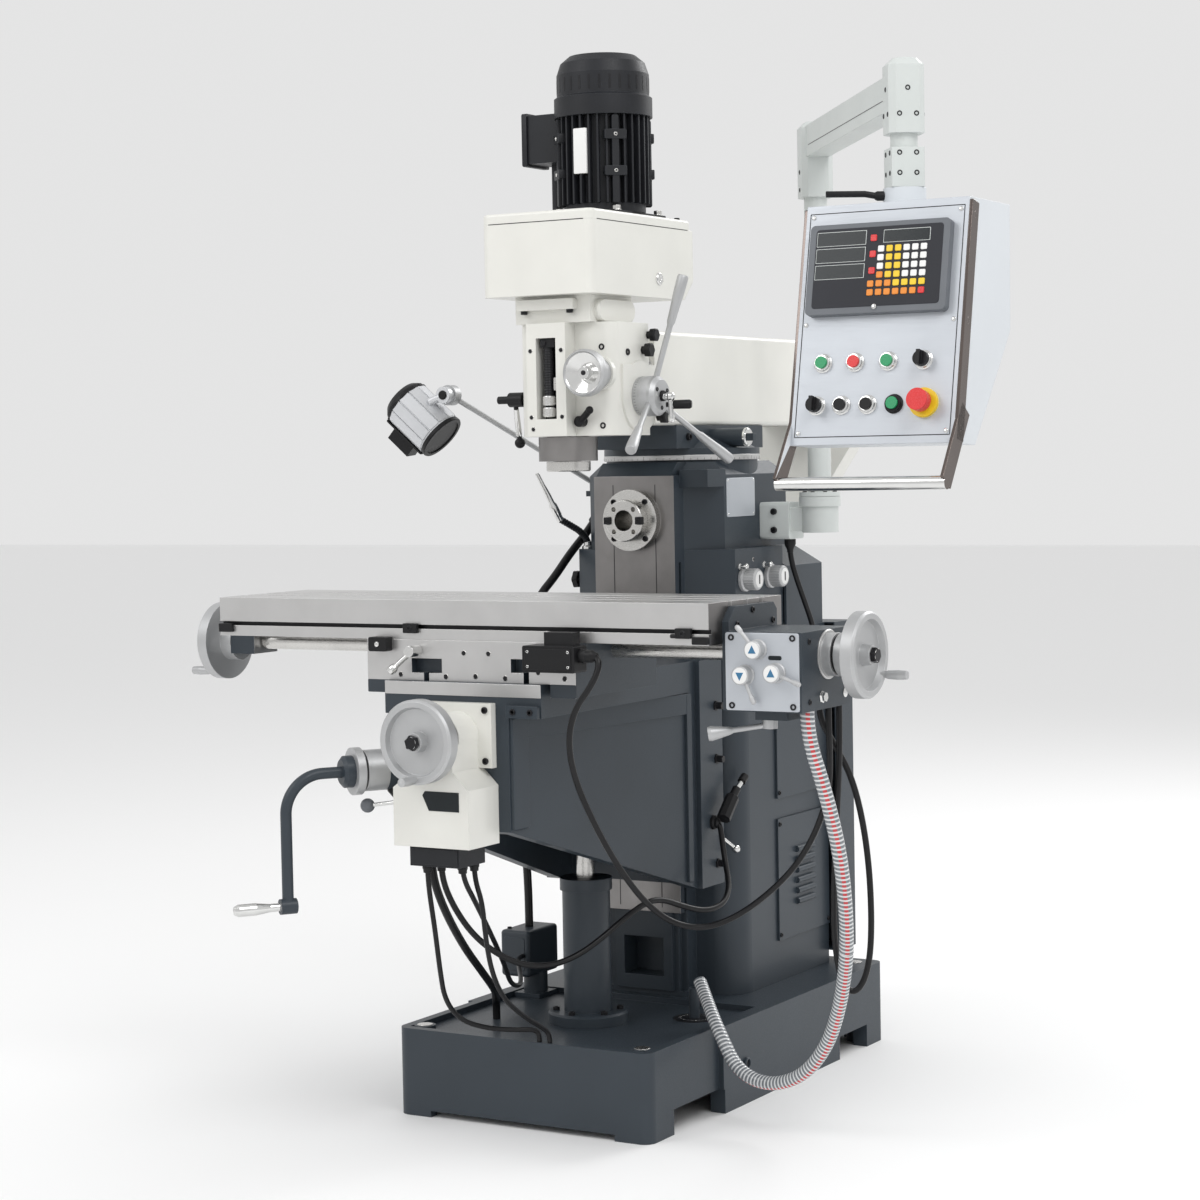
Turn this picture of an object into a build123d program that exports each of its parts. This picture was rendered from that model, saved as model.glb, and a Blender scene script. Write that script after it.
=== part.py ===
from build123d import *
import os
from math import cos, radians, sin, tan

os.makedirs("parts", exist_ok=True)

# Driving dimensions in millimetres: x right, y back, z up, origin under the base
RUN = 0.05
GAP = 0.5

BASE_FRONT_X = 294.5
BASE_REAR_X = 306.5
BASE_Y = (-535.0, 532.0)
BASE_STEP_Y = -250.0
BASE_TOP = 178.0
BASE_WALL = 22.0
BASE_PLATE_Z = 140.0
BASE_CORNER_R = 25.0
TRAY_FLOOR = 166.0
TRAY_RIM = 20.0
TRAY_END_Y = -45.0
ANCHOR_X = 255.0
ANCHOR_Y = 490.0
ANCHOR_R = 9.0
ANCHOR_BOSS_R = 22.0
DRAIN_XY = (187.0, -150.0)

LIFT_Y = -265.0
LIFT_R = 19.0
PEDESTAL_TOP = 466.0

COLUMN_X = 200.0
COLUMN_Y = (30.0, 470.0)
COLUMN_LOWER_TOP = 950.0
COLUMN_CORNER_R = 60.0
NECK_X = 192.0
NECK_Y = (5.0, 280.0)
NECK_CORNER_Y = 55.0
LEDGE_Z = 1130.0
UPPER_X = 165.0
UPPER_Y = (62.0, 355.0)
SEAT_RISE = 28.0
WAY_X = 97.0
WAY_Y = -37.0
WAY_Z = (360.0, 1288.0)
WAY_GROOVE_TOP = 1105.0
STEM_Y = (-20.0, 40.0)
SPINDLE_Z = 1195.0
FLANGE_R = 65.0
FLANGE_Y = -57.0
NOSE_R = 44.45
NOSE_L = 25.0
SPINDLE_R = 30.0
TAPER_R = 22.2
DRIVE_SCREW_PCD = 66.7
DRIVE_SCREW_R = 5.1
DIAL_YZ = ((92.0, 1064.5), (214.0, 1066.0))

TURRET_Y = 180.0
SEAT_R = 165.0
SEAT_Z = 1319.0
TURRET_RING_R = 170.0
TURRET_RING_Z = 1345.0
SLIDE_X = 97.0
SLIDE_Y = (-20.0, 380.0)
PIVOT_R = 60.0
RAM_X = 100.0
RAM_Y = (-115.0, 865.0)
RAM_Z = (1394.0, 1590.0)
TONGUE_X = 60.0
TONGUE_Z = 1418.0

TILT_Z = 1490.0
QUILL_Y = -302.0
QUILL_R = 43.0
COLLAR_R = 60.0
COLLAR_Z = (1323.0, 1372.0)
HEAD_Z = (1373.0, 1600.0)
NECK_TOP = 1654.0
HUB_YZ = (-244.0, 1451.0)
HUB_R = 40.0
GEAR_CASE_R = 72.0
FINE_XZ = (104.0, 1497.0)
LOCK_X = 62.0
LOCK_Z = 1402.0
SPLINE_R = 14.0
MOTOR_Y = -135.0
HOUSING_X = 130.0
HOUSING_Y = (-413.0, 4.0)
HOUSING_TOP = 1800.0
HOUSING_WALL = 8.0
HOUSING_FRONT_R = 18.0
HOUSING_REAR_R = 20.0
LID_TOP = 1821.0
MOTOR_FOOT_Z = 1833.0
MOTOR_TOP = 2157.0
MOTOR_FINS = 32
BELT_Z = (1689.0, 1721.0)
BELT_T = 9.0
MOTOR_BELT_R = 41.3
SPINDLE_BELT_R = 57.3

KNEE_X = 178.0
KNEE_JAW_X = 190.0
KNEE_Y = (-715.0, -37.5)
KNEE_TOP = 905.0
KNEE_BOTTOM = (622.0, 430.0)
KNEE_NOSE_X = 105.0
KNEE_TAPER_Y = -130.0
KNEE_FLANGE_Z = 841.0
KNEE_CAVITY_TOP = 850.0
CRANK_FROM = Vector(-163.0, -746.0, 735.0)
CRANK_AXIS = Vector(-0.574, -0.819, 0.0)
CRANK_REACH = 200.0
CRANK_BEND = 75.0
CRANK_DROP = 250.0
CRANK_TUBE_R = 11.0
CROSS_Z = 806.0
CROSS_R = 12.0
GEARBOX_FRONT_Y = -820.0

SADDLE_X = (-228.0, 246.0)
SADDLE_Y = (-700.0, -390.0)
SADDLE_TOP = 984.0
TABLE_X = (-593.0, 527.0)
TABLE_Y = (-697.0, -401.0)
TABLE_TOP = 1061.0
TABLE_MID_Y = -549.0
TEE_PITCH = 63.0
TEE_NECK = 14.0
TEE_HEAD = 24.0
SCREW_Z = 962.0
SCREW_R = 16.0
SCREW_END_R = 12.0
BRACKET_LEFT_X = -654.0
FEED_X = (541.0, 695.0)
FEED_BOSS_X = 717.0
FEED_BOSS_R = 40.0
FEED_Y = (-661.0, -455.0)
FEED_Z = (863.0, 1008.0)
SELECTOR_XZ = ((609.0, 977.0), (583.0, 930.0), (646.0, 935.0))
SELECTOR_REACH = ((-35.0, 40.0), (20.0, -44.0), (40.0, -15.0))
LEVER_PIVOT = (600.0, -600.0, 845.0)
LEVER_RUN = Vector(-95.0, -50.0, -15.0)

POST_XY = (294.0, 260.0)
DROP_XY = (781.0, -373.0)
BOOM_Z = (1962.0, 2028.0)
POST_ELBOW_Z = (1877.0, 2038.0)
DROP_ELBOW_Z = (1916.0, 2054.0)
ELBOW_W = 68.0
ELBOW_BEVEL = 12.0
CLAMP_W = 62.0
CLAMP_Z = (1817.0, 1890.0)
PANEL_X = (627.0, 949.0)
PANEL_WALL = 4.0
BOX_SIDE = ((-556.0, 1344.0), (-466.0, 1785.0), (-275.0, 1783.0), (-278.0, 1551.0), (-455.0, 1339.0))
BUTTON_R = 11.2
BUTTON_HOLE_R = 11.6
BEZEL_R = 15.0
BEZEL_H = 8.0
STOP_STEM_R = 8.0
STOP_HEAD_R = 20.0
STOP_BASE_R = 27.0
PUSH_AT = {
    "start_button": (-105.4, 152.0),
    "stop_button": (-41.3, 152.0),
    "reverse_button": (24.4, 152.0),
    "jog_button_left": (-62.7, 73.0),
    "jog_button_right": (-10.5, 73.0),
    "lit_button": (41.3, 73.0),
}
TURN_AT = {"speed_switch": (93.5, 152.0), "mode_switch": (-112.3, 73.0)}
STOP_AT = (101.0, 73.0)

LAMP_PIVOT = (-185.0, 115.0)
LAMP_LUG_Z = (1244.0, 1256.0)
LAMP_BALL = Vector(-405.0, -120.0, 1470.0)
LAMP_CENTRE = Vector(-480.0, -120.0, 1423.0)
LAMP_AXIS = Vector(0.73, 0.09, -0.676).normalized()
LAMP_R = 52.0

WHEEL_PROFILE = [
    (40, 0), (40, 27), (66, 30), (80, 32), (80, 54), (76, 58), (66, 58), (62, 46), (20, 42), (18, 62),
]
HANDLE_AT = 70.0
CORD_BEND_MAX = 400.0
CORD_BEND_SHARE = 0.45
CABLE_R = 6.0
SUPPLY_R = 9.0
SUPPLY_END = (-187.5, 113.0, 1188.0)
WIRE_R = 5.0
HANDLE_PROFILE = [(0, 0), (6, 0), (6, 8), (8, 14), (9, 34), (8, 52), (0, 54)]


def block(x_span, y_span, z_span, mode=Mode.ADD):
    """A box between two corners."""
    reach = (x_span, y_span, z_span)
    with Locations(tuple((low + high) / 2 for low, high in reach)):
        Box(*(high - low for low, high in reach), mode=mode)


def rod(start, end, radius, mode=Mode.ADD):
    """A cylinder from one point to another."""
    run = Vector(end) - Vector(start)
    with Locations(Plane(origin=start, z_dir=run)):
        Cylinder(radius, run.length, align=(Align.CENTER, Align.CENTER, Align.MIN), mode=mode)


def turned(origin, axis, profile, mode=Mode.ADD):
    """A lathe shape: (radius, distance along the axis) points turned about the axis."""
    along = Vector(axis).normalized()
    helper = Vector(1, 0, 0) if abs(along.Z) > 0.9 else Vector(0, 0, 1)
    side = along.cross(helper).normalized()
    plane = Plane(origin=origin, x_dir=side, z_dir=side.cross(along))
    with BuildSketch(plane) as section:
        with BuildLine():
            Polyline(*profile, close=True)
        make_face()
    revolve(profiles=section.sketch, axis=Axis(origin, along), mode=mode)


def bent_tube(points, radius, bend):
    """A round tube along straight runs with rounded corners."""
    with BuildLine() as path:
        FilletPolyline(*points, radius=bend)
    with BuildSketch(Plane(origin=path.line @ 0, z_dir=path.line % 0)) as section:
        Circle(radius)
    sweep(sections=section.sketch, path=path.line)


def cord(points, radius, bore=0.0):
    """A flexible cord through the points, with every corner rounded as far as its runs allow."""
    bends = []
    for before, corner, after in zip(points, points[1:], points[2:]):
        arrive = Vector(corner) - Vector(before)
        leave = Vector(after) - Vector(corner)
        half_turn = radians(arrive.get_angle(leave)) / 2
        share = CORD_BEND_SHARE * min(arrive.length, leave.length)
        bends.append(min(CORD_BEND_MAX, share / tan(half_turn)))
    with BuildLine() as path:
        FilletPolyline(*points, radius=bends)
    with BuildSketch(Plane(origin=path.line @ 0, z_dir=path.line % 0)) as section:
        Circle(radius)
        if bore:
            Circle(bore, mode=Mode.SUBTRACT)
    sweep(sections=section.sketch, path=path.line)


def spans(half):
    """A span that is equal on both sides of the centre plane."""
    return (-half, half)


def neck(half_width, corner_y, rear_y, z_span, taper=0.0):
    """A six-sided column section whose front corners run back from the way stem."""
    with BuildSketch(Plane.XY.offset(z_span[0])) as section:
        with BuildLine():
            Polyline(
                (WAY_X, NECK_Y[0]), (half_width, corner_y), (half_width, rear_y), (-half_width, rear_y),
                (-half_width, corner_y), (-WAY_X, NECK_Y[0]), close=True,
            )
        make_face()
    extrude(section.sketch, amount=z_span[1] - z_span[0], taper=taper)


# Machine base: hollow casting with a coolant tray, feet and anchor bosses
with BuildPart() as base:
    block(spans(BASE_FRONT_X), (BASE_Y[0], BASE_STEP_Y), (0, BASE_TOP))
    block(spans(BASE_REAR_X), (BASE_STEP_Y, BASE_Y[1]), (0, BASE_TOP))
    uprights = base.edges().filter_by(Axis.Z)
    fillet(uprights.group_by(Axis.Y)[0] + uprights.group_by(Axis.Y)[-1], BASE_CORNER_R)
    inner_x = BASE_FRONT_X - BASE_WALL
    block(spans(inner_x), (BASE_Y[0] + BASE_WALL, BASE_Y[1] - BASE_WALL), (0, BASE_PLATE_Z), Mode.SUBTRACT)
    tray_x = BASE_FRONT_X - TRAY_RIM
    block(spans(tray_x), (BASE_Y[0] + TRAY_RIM, TRAY_END_Y), (TRAY_FLOOR, BASE_TOP), Mode.SUBTRACT)
    block(spans(215), BASE_Y, (0, 13), Mode.SUBTRACT)
    for notch_y in ((-438, -245), (295, 437)):
        block(spans(BASE_REAR_X), notch_y, (0, 50), Mode.SUBTRACT)
    with GridLocations(2 * ANCHOR_X, 2 * ANCHOR_Y, 2, 2):
        Cylinder(ANCHOR_BOSS_R, BASE_TOP, align=(Align.CENTER, Align.CENTER, Align.MIN))
        Cylinder(ANCHOR_R, BASE_TOP, align=(Align.CENTER, Align.CENTER, Align.MIN), mode=Mode.SUBTRACT)
    rod((0, LIFT_Y, BASE_PLATE_Z), (0, LIFT_Y, TRAY_FLOOR), 30, Mode.SUBTRACT)
    rod((*DRAIN_XY, TRAY_FLOOR), (*DRAIN_XY, 230), 11)
    rod((*DRAIN_XY, BASE_PLATE_Z), (*DRAIN_XY, 230), 8, Mode.SUBTRACT)

# Column: lower body, two neck sections, way plate, turret seat and spindle flange
with BuildPart() as column:
    block(spans(COLUMN_X), COLUMN_Y, (BASE_TOP, COLUMN_LOWER_TOP))
    fillet(column.edges().filter_by(Axis.Z).group_by(Axis.Y)[0], COLUMN_CORNER_R)
    neck(NECK_X, NECK_CORNER_Y, NECK_Y[1], (COLUMN_LOWER_TOP - 40, LEDGE_Z))
    neck(UPPER_X, *UPPER_Y, (LEDGE_Z, WAY_Z[1]))
    neck(UPPER_X, *UPPER_Y, (WAY_Z[1], WAY_Z[1] + SEAT_RISE), taper=44)
    block(spans(WAY_X), STEM_Y, (BASE_TOP, WAY_Z[1]))
    block(spans(WAY_X), (WAY_Y, STEM_Y[0]), WAY_Z)
    with BuildSketch(Plane.YZ):
        with BuildLine():
            Polyline(
                (WAY_Y, WAY_Z[1]), (WAY_Y + SEAT_RISE, WAY_Z[1] + SEAT_RISE), (60, WAY_Z[1] + SEAT_RISE),
                (60, WAY_Z[1]), close=True,
            )
        make_face()
    extrude(amount=WAY_X - 6, both=True)
    block(spans(69), (-28, STEM_Y[0]), (190, WAY_Z[0]))
    block((WAY_X, UPPER_X), (-12, 70), (1263, 1300))
    for low, high in ((82, WAY_X + 1), (-WAY_X - 1, -82)):
        block((low, high), (STEM_Y[0], -9.5), (190, WAY_GROOVE_TOP), Mode.SUBTRACT)
    rod((0, TURRET_Y, WAY_Z[1]), (0, TURRET_Y, SEAT_Z), SEAT_R)
    rod((0, TURRET_Y, 1240), (0, TURRET_Y, SEAT_Z), PIVOT_R + RUN, Mode.SUBTRACT)
    rod((0, WAY_Y, SPINDLE_Z), (0, FLANGE_Y, SPINDLE_Z), FLANGE_R)
    block((-200, -UPPER_X), (103, 127), LAMP_LUG_Z)
    block((-200, -UPPER_X), (122, 148), (1190, 1216))
    rod((-186, 135, 1207), SUPPLY_END, 12)
    rod((*LAMP_PIVOT, LAMP_LUG_Z[0]), (*LAMP_PIVOT, LAMP_LUG_Z[1]), 6 + RUN, Mode.SUBTRACT)
    block(spans(165), (75, 440), (BASE_TOP, COLUMN_LOWER_TOP - 30), Mode.SUBTRACT)
    block(spans(165), (75, 250), (COLUMN_LOWER_TOP - 40, 1040), Mode.SUBTRACT)
    rod((0, FLANGE_Y, SPINDLE_Z), (0, 90, SPINDLE_Z), SPINDLE_R + RUN, Mode.SUBTRACT)
    block(spans(48), (-30, 30), (220, 303), Mode.SUBTRACT)
    for dial_y, dial_z in DIAL_YZ:
        rod((150, dial_y, dial_z), (NECK_X, dial_y, dial_z), 8 + RUN, Mode.SUBTRACT)

with BuildPart() as screw_pedestal:
    turned((0, LIFT_Y, 0), (0, 0, 1), [
        (30, TRAY_FLOOR), (82.5, TRAY_FLOOR), (82.5, 186), (78, 190), (49.5, 190), (49.5, 441), (54, 441),
        (54, PEDESTAL_TOP), (LIFT_R + RUN, PEDESTAL_TOP), (LIFT_R + RUN, 430), (30, 430),
    ])

# Sheet covers on the column: plain, louvred and the drive cover behind the neck
with BuildPart() as column_covers:
    block((COLUMN_X, COLUMN_X + 5), (213, 465), (580, 900))
    block((COLUMN_X, COLUMN_X + 5), (213, 465), (268, 535))
    for louvre in range(6):
        louvre_z = 344 + 23 * louvre
        rod((COLUMN_X + 7, 297, louvre_z), (COLUMN_X + 7, 380, louvre_z), 7)
    with BuildSketch(Plane.XZ.offset(-NECK_Y[1])):
        with BuildLine():
            Polyline(
                (-200, 950), (200, 950), (200, 1085), (125, 1128), (-125, 1128), (-200, 1085), close=True,
            )
        make_face()
    extrude(amount=-180)
    block(spans(194), (NECK_Y[1], 454), (COLUMN_LOWER_TOP, 1078), Mode.SUBTRACT)

with BuildPart() as electrical_cabinet:
    block(spans(225), (COLUMN_Y[1], 566), (205, 950))
    fillet(electrical_cabinet.edges().filter_by(Axis.Z).group_by(Axis.Y)[-1], 8)
    block(spans(222), (COLUMN_Y[1], 563), (208, 947), Mode.SUBTRACT)

with BuildPart() as coolant_pump:
    block((-290, -218), (-145, -21), (215, 315))
    fillet(coolant_pump.edges(), 8)
    rod((-240, -83, TRAY_FLOOR), (-240, -83, 220), 26)
    block((-272, -208), (-120, -46), (TRAY_FLOOR, 176))

with BuildPart() as pendant_bracket:
    block((UPPER_X, 235), (226, 300), (1145, 1225))
    fillet(pendant_bracket.edges().filter_by(Axis.X), 8)
    block((235, POST_XY[0]), (234, 286), (1162, 1213))
    rod((222, 258, 1130), (222, 258, 1145), 11)
    rod((*POST_XY, 1159), (*POST_XY, 1215), 40)
    rod((*POST_XY, 1215), (*POST_XY, 1236), 45)
    rod((*POST_XY, 1170), (*POST_XY, 1236), 26 + RUN, Mode.SUBTRACT)

dials = []
for dial_y, dial_z in DIAL_YZ:
    with BuildPart() as speed_dial:
        rod((155, dial_y, dial_z), (NECK_X + 1, dial_y, dial_z), 8)
        turned((NECK_X, dial_y, dial_z), (1, 0, 0), [
            (0, GAP), (26, GAP), (26, 8), (22.5, 10), (22.5, 35), (20, 38), (0, 38),
        ])
    dials.append(speed_dial)

with BuildPart() as horizontal_spindle:
    turned((0, FLANGE_Y - GAP, SPINDLE_Z), (0, -1, 0), [
        (0, -137), (SPINDLE_R, -137), (SPINDLE_R, 0), (NOSE_R, 0), (NOSE_R, NOSE_L - 2),
        (NOSE_R - 2, NOSE_L), (TAPER_R, NOSE_L), (12.7, -40), (0, -40),
    ])
    nose_y = FLANGE_Y - GAP - NOSE_L
    for side in (-1, 1):
        key_x = sorted((side * 30, side * 46))
        block(key_x, (nose_y, nose_y + 9), (SPINDLE_Z - 8, SPINDLE_Z + 8), Mode.SUBTRACT)
    for corner in range(4):
        angle = radians(45 + 90 * corner)
        hole_x = DRIVE_SCREW_PCD / 2 * cos(angle)
        hole_z = SPINDLE_Z + DRIVE_SCREW_PCD / 2 * sin(angle)
        rod((hole_x, nose_y, hole_z), (hole_x, nose_y + 18, hole_z), DRIVE_SCREW_R, Mode.SUBTRACT)

# Turret: graduated ring, slide body with a tongue for the ram, and the pinion housing
with BuildPart() as turret:
    rod((0, TURRET_Y, 1250), (0, TURRET_Y, TURRET_RING_Z), PIVOT_R)
    rod((0, TURRET_Y, SEAT_Z + GAP), (0, TURRET_Y, TURRET_RING_Z), TURRET_RING_R)
    turned((0, TURRET_Y, TURRET_RING_Z), (0, 0, 1), [(0, 0), (160, 0), (148, 8), (112, 30), (0, 30)])
    block(spans(SLIDE_X), SLIDE_Y, (TURRET_RING_Z, RAM_Z[0]))
    block(spans(TONGUE_X), SLIDE_Y, (RAM_Z[0], TONGUE_Z))
    rod((90, 140, 1367), (185, 140, 1367), 20)
    block((185, 200), (132, 148), (1359, 1375))

with BuildPart() as ram:
    block(spans(RAM_X), RAM_Y, RAM_Z)
    fillet(ram.edges().filter_by(Axis.Y), 10)
    block(spans(TONGUE_X + GAP), RAM_Y, (RAM_Z[0], TONGUE_Z + GAP), Mode.SUBTRACT)
    block(spans(72), (-50, 840), (1440, 1560), Mode.SUBTRACT)
    block(spans(45), (300, 820), (TONGUE_Z, 1440), Mode.SUBTRACT)
    rod((0, RAM_Y[0], TILT_Z), (0, -60, TILT_Z), 40 + RUN, Mode.SUBTRACT)

with BuildPart() as arbor_support:
    with BuildSketch(Plane.XZ.offset(-770)):
        with BuildLine():
            Polyline(
                (-130, RAM_Z[0]), (-TONGUE_X, RAM_Z[0]), (-TONGUE_X, TONGUE_Z), (TONGUE_X, TONGUE_Z),
                (TONGUE_X, RAM_Z[0]), (130, RAM_Z[0]), (130, 1345), (56, 1235), (56, 1150), (-56, 1150),
                (-56, 1235), (-130, 1345), close=True,
            )
        make_face()
    extrude(amount=-60)
    rod((0, 770, SPINDLE_Z), (0, 830, SPINDLE_Z), 24, Mode.SUBTRACT)

# Milling head casting with the quill bore, slot, neck and swivel flange
with BuildPart() as head:
    block((-88, 135), (-345, -185), HEAD_Z)
    fillet(head.edges().filter_by(Axis.Z), 22)
    block(spans(46), (-383, -340), HEAD_Z)
    block((-80, 95), (-365, -200), (HEAD_Z[1], NECK_TOP))
    rod((0, -186, TILT_Z), (0, RAM_Y[0] - GAP, TILT_Z), 100)
    rod((0, -120, TILT_Z), (0, -65, TILT_Z), 40)
    rod((90, *HUB_YZ), (140, *HUB_YZ), GEAR_CASE_R)
    block((90, 140), (HUB_YZ[0] - GEAR_CASE_R, HUB_YZ[0] + GEAR_CASE_R), (HUB_YZ[1], 1515))
    rod((FINE_XZ[0], -340, FINE_XZ[1]), (FINE_XZ[0], -352, FINE_XZ[1]), 34)
    rod((0, QUILL_Y, HEAD_Z[0]), (0, QUILL_Y, NECK_TOP), QUILL_R + RUN, Mode.SUBTRACT)
    block(spans(23), (-383, -350), (1408, 1570), Mode.SUBTRACT)
    rod((92, *HUB_YZ), (140, *HUB_YZ), 15 + RUN, Mode.SUBTRACT)
    rod((FINE_XZ[0], -352, FINE_XZ[1]), (FINE_XZ[0], -308, FINE_XZ[1]), 8 + RUN, Mode.SUBTRACT)
    rod((LOCK_X, -345, LOCK_Z), (LOCK_X, -324, LOCK_Z), 6 + RUN, Mode.SUBTRACT)
    rod((-88, -325, 1450), (-64, -325, 1450), 7 + RUN, Mode.SUBTRACT)

with BuildPart() as quill:
    turned((0, QUILL_Y, 0), (0, 0, 1), [
        (25 + RUN, COLLAR_Z[0]), (COLLAR_R, COLLAR_Z[0]), (COLLAR_R, COLLAR_Z[1]), (QUILL_R, COLLAR_Z[1]),
        (QUILL_R, 1560), (25 + RUN, 1560),
    ])

with BuildPart() as vertical_spindle:
    turned((0, QUILL_Y, 0), (0, 0, 1), [
        (TAPER_R, 1302), (43, 1302), (45, 1304), (45, 1322.5), (25, 1322.5), (25, 1565), (SPLINE_R, 1565),
        (SPLINE_R, 1795), (0, 1795), (0, 1365), (12, 1365),
    ])

HANDLE_SPLAY = radians(16.6)
with BuildPart() as quill_feed_hub:
    rod((97, *HUB_YZ), (142, *HUB_YZ), 15)
    turned((140, *HUB_YZ), (1, 0, 0), [(0, GAP), (HUB_R, GAP), (HUB_R, 40), (HUB_R - 7, 48), (0, 48)])
    for spoke in range(3):
        turn = radians(87 + 120 * spoke)
        reach = Vector(sin(HANDLE_SPLAY), cos(HANDLE_SPLAY) * cos(turn), cos(HANDLE_SPLAY) * sin(turn))
        turned(Vector(163, *HUB_YZ) + reach * 15, reach, [
            (0, 0), (6, 0), (6, 140), (8, 148), (11, 200), (11, 232), (9, 236), (0, 236),
        ])

with BuildPart() as fine_feed_wheel:
    turned((FINE_XZ[0], -352, FINE_XZ[1]), (0, -1, 0), [
        (0, -40), (8, -40), (8, GAP), (30, GAP), (30, 26), (26, 28), (26, 42), (47, 44), (47, 60), (43, 64),
        (40, 60), (14, 48), (12, 60), (0, 60),
    ])

with BuildPart() as quill_lock_lever:
    turned((LOCK_X, -345, LOCK_Z), (0, -1, 0), [(0, -18), (6, -18), (6, GAP), (11, GAP), (11, 18), (0, 18)])
    rod((LOCK_X, -355, LOCK_Z), (LOCK_X + 27, -365, LOCK_Z + 22), 4)
    with Locations((LOCK_X + 27, -365, LOCK_Z + 22)):
        Sphere(8)

with BuildPart() as feed_clutch_lever:
    turned((-88, -325, 1450), (-1, 0, 0), [
        (0, -21), (7, -21), (7, GAP), (15, GAP), (15, 34), (8, 36), (8, 62), (0, 62),
    ])
    rod((-110, -325, 1444), (-122, -292, 1366), 5)
    with Locations((-123, -290, 1362)):
        Sphere(11)

# Belt drive: open-topped housing, lid, motor, pulleys and belt
with BuildPart() as housing_cavity:
    with BuildSketch(Plane.YZ.offset(HOUSING_WALL - HOUSING_X)):
        with BuildLine():
            Polyline((-405, 1662), (-39, 1662), (-4, 1697), (-4, 1800), (-405, 1800), close=True)
        make_face()
    extrude(amount=2 * (HOUSING_X - HOUSING_WALL))
    cavity_front = housing_cavity.edges().filter_by(Axis.Z).group_by(Axis.Y)[0]
    fillet(cavity_front, HOUSING_FRONT_R - HOUSING_WALL)

with BuildPart() as belt_housing:
    with BuildSketch(Plane.YZ.offset(-HOUSING_X)):
        with BuildLine():
            Polyline(
                (HOUSING_Y[0], NECK_TOP), (-36, NECK_TOP), (HOUSING_Y[1], NECK_TOP + 40),
                (HOUSING_Y[1], HOUSING_TOP), (HOUSING_Y[0], HOUSING_TOP), close=True,
            )
        make_face()
    extrude(amount=2 * HOUSING_X)
    fillet(belt_housing.edges().filter_by(Axis.Z).group_by(Axis.Y)[0], HOUSING_FRONT_R)
    add(housing_cavity.part, mode=Mode.SUBTRACT)
    rod((0, QUILL_Y, NECK_TOP), (0, QUILL_Y, NECK_TOP + HOUSING_WALL), 45, Mode.SUBTRACT)

with BuildPart() as belt_lid:
    block(spans(HOUSING_X), HOUSING_Y, (HOUSING_TOP, LID_TOP))
    fillet(belt_lid.edges().filter_by(Axis.Z).group_by(Axis.Y)[0], HOUSING_FRONT_R)
    fillet(belt_lid.edges().filter_by(Axis.Z).group_by(Axis.Y)[-1], HOUSING_REAR_R)
    fillet(belt_lid.faces().sort_by(Axis.Z)[-1].edges(), 6)
    rod((0, MOTOR_Y, HOUSING_TOP), (0, MOTOR_Y, LID_TOP), 30, Mode.SUBTRACT)

with BuildPart() as drive_motor:
    block(spans(80), (-215, -20), (LID_TOP, MOTOR_FOOT_Z))
    rod((0, MOTOR_Y, LID_TOP), (0, MOTOR_Y, MOTOR_FOOT_Z), 30, Mode.SUBTRACT)
    turned((0, MOTOR_Y, 0), (0, 0, 1), [
        (SPLINE_R + RUN, MOTOR_FOOT_Z), (85, MOTOR_FOOT_Z), (85, 1850), (80, 1850), (80, 2030), (102, 2030),
        (102, 2070), (96, 2074), (96, 2118), (88, 2142), (70, MOTOR_TOP), (0, MOTOR_TOP), (0, 1932),
        (SPLINE_R + RUN, 1932),
    ])
    with Locations((0, MOTOR_Y, 1940)):
        with PolarLocations(88, MOTOR_FINS):
            Box(18, 4, 180)
    block((-165, -90), (-175, -95), (1945, 2045))
    rod((-115, MOTOR_Y, LID_TOP), (-115, MOTOR_Y, 1946), 11)

with BuildPart() as motor_pulley:
    turned((0, MOTOR_Y, 0), (0, 0, 1), [
        (0, 1672), (46, 1672), (46, 1684), (41, 1688), (41, 1722), (46, 1726), (46, 1738), (SPLINE_R, 1738),
        (SPLINE_R, 1925), (0, 1925),
    ])

with BuildPart() as spindle_pulley:
    turned((0, QUILL_Y, 0), (0, 0, 1), [
        (SPLINE_R + RUN, 1625), (30, 1625), (30, 1668), (62, 1668), (62, 1684), (57, 1688), (57, 1722),
        (62, 1726), (62, 1738), (SPLINE_R + RUN, 1738),
    ])

with BuildPart() as drive_belt:
    for grow, mode in ((BELT_T, Mode.ADD), (0, Mode.SUBTRACT)):
        with BuildSketch(Plane.XY.offset(BELT_Z[0])):
            with Locations((0, MOTOR_Y)):
                Circle(MOTOR_BELT_R + grow)
            with Locations((0, QUILL_Y)):
                Circle(SPINDLE_BELT_R + grow)
            make_hull()
        extrude(amount=BELT_Z[1] - BELT_Z[0], mode=mode)

# Work lamp: arm on the column and a tilting lamp head
with BuildPart() as lamp_arm:
    rod((*LAMP_PIVOT, LAMP_LUG_Z[0]), (*LAMP_PIVOT, 1258), 6)
    rod((*LAMP_PIVOT, LAMP_LUG_Z[1] + GAP), (*LAMP_PIVOT, 1282), 11)
    rod((*LAMP_PIVOT, 1272), LAMP_BALL, 6)
    rod(LAMP_BALL + Vector(0, -11, 0), LAMP_BALL + Vector(0, 11, 0), 22)
    rod(LAMP_BALL + Vector(0, -11, 0), LAMP_BALL + Vector(0, 11, 0), 8 + RUN, Mode.SUBTRACT)

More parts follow.
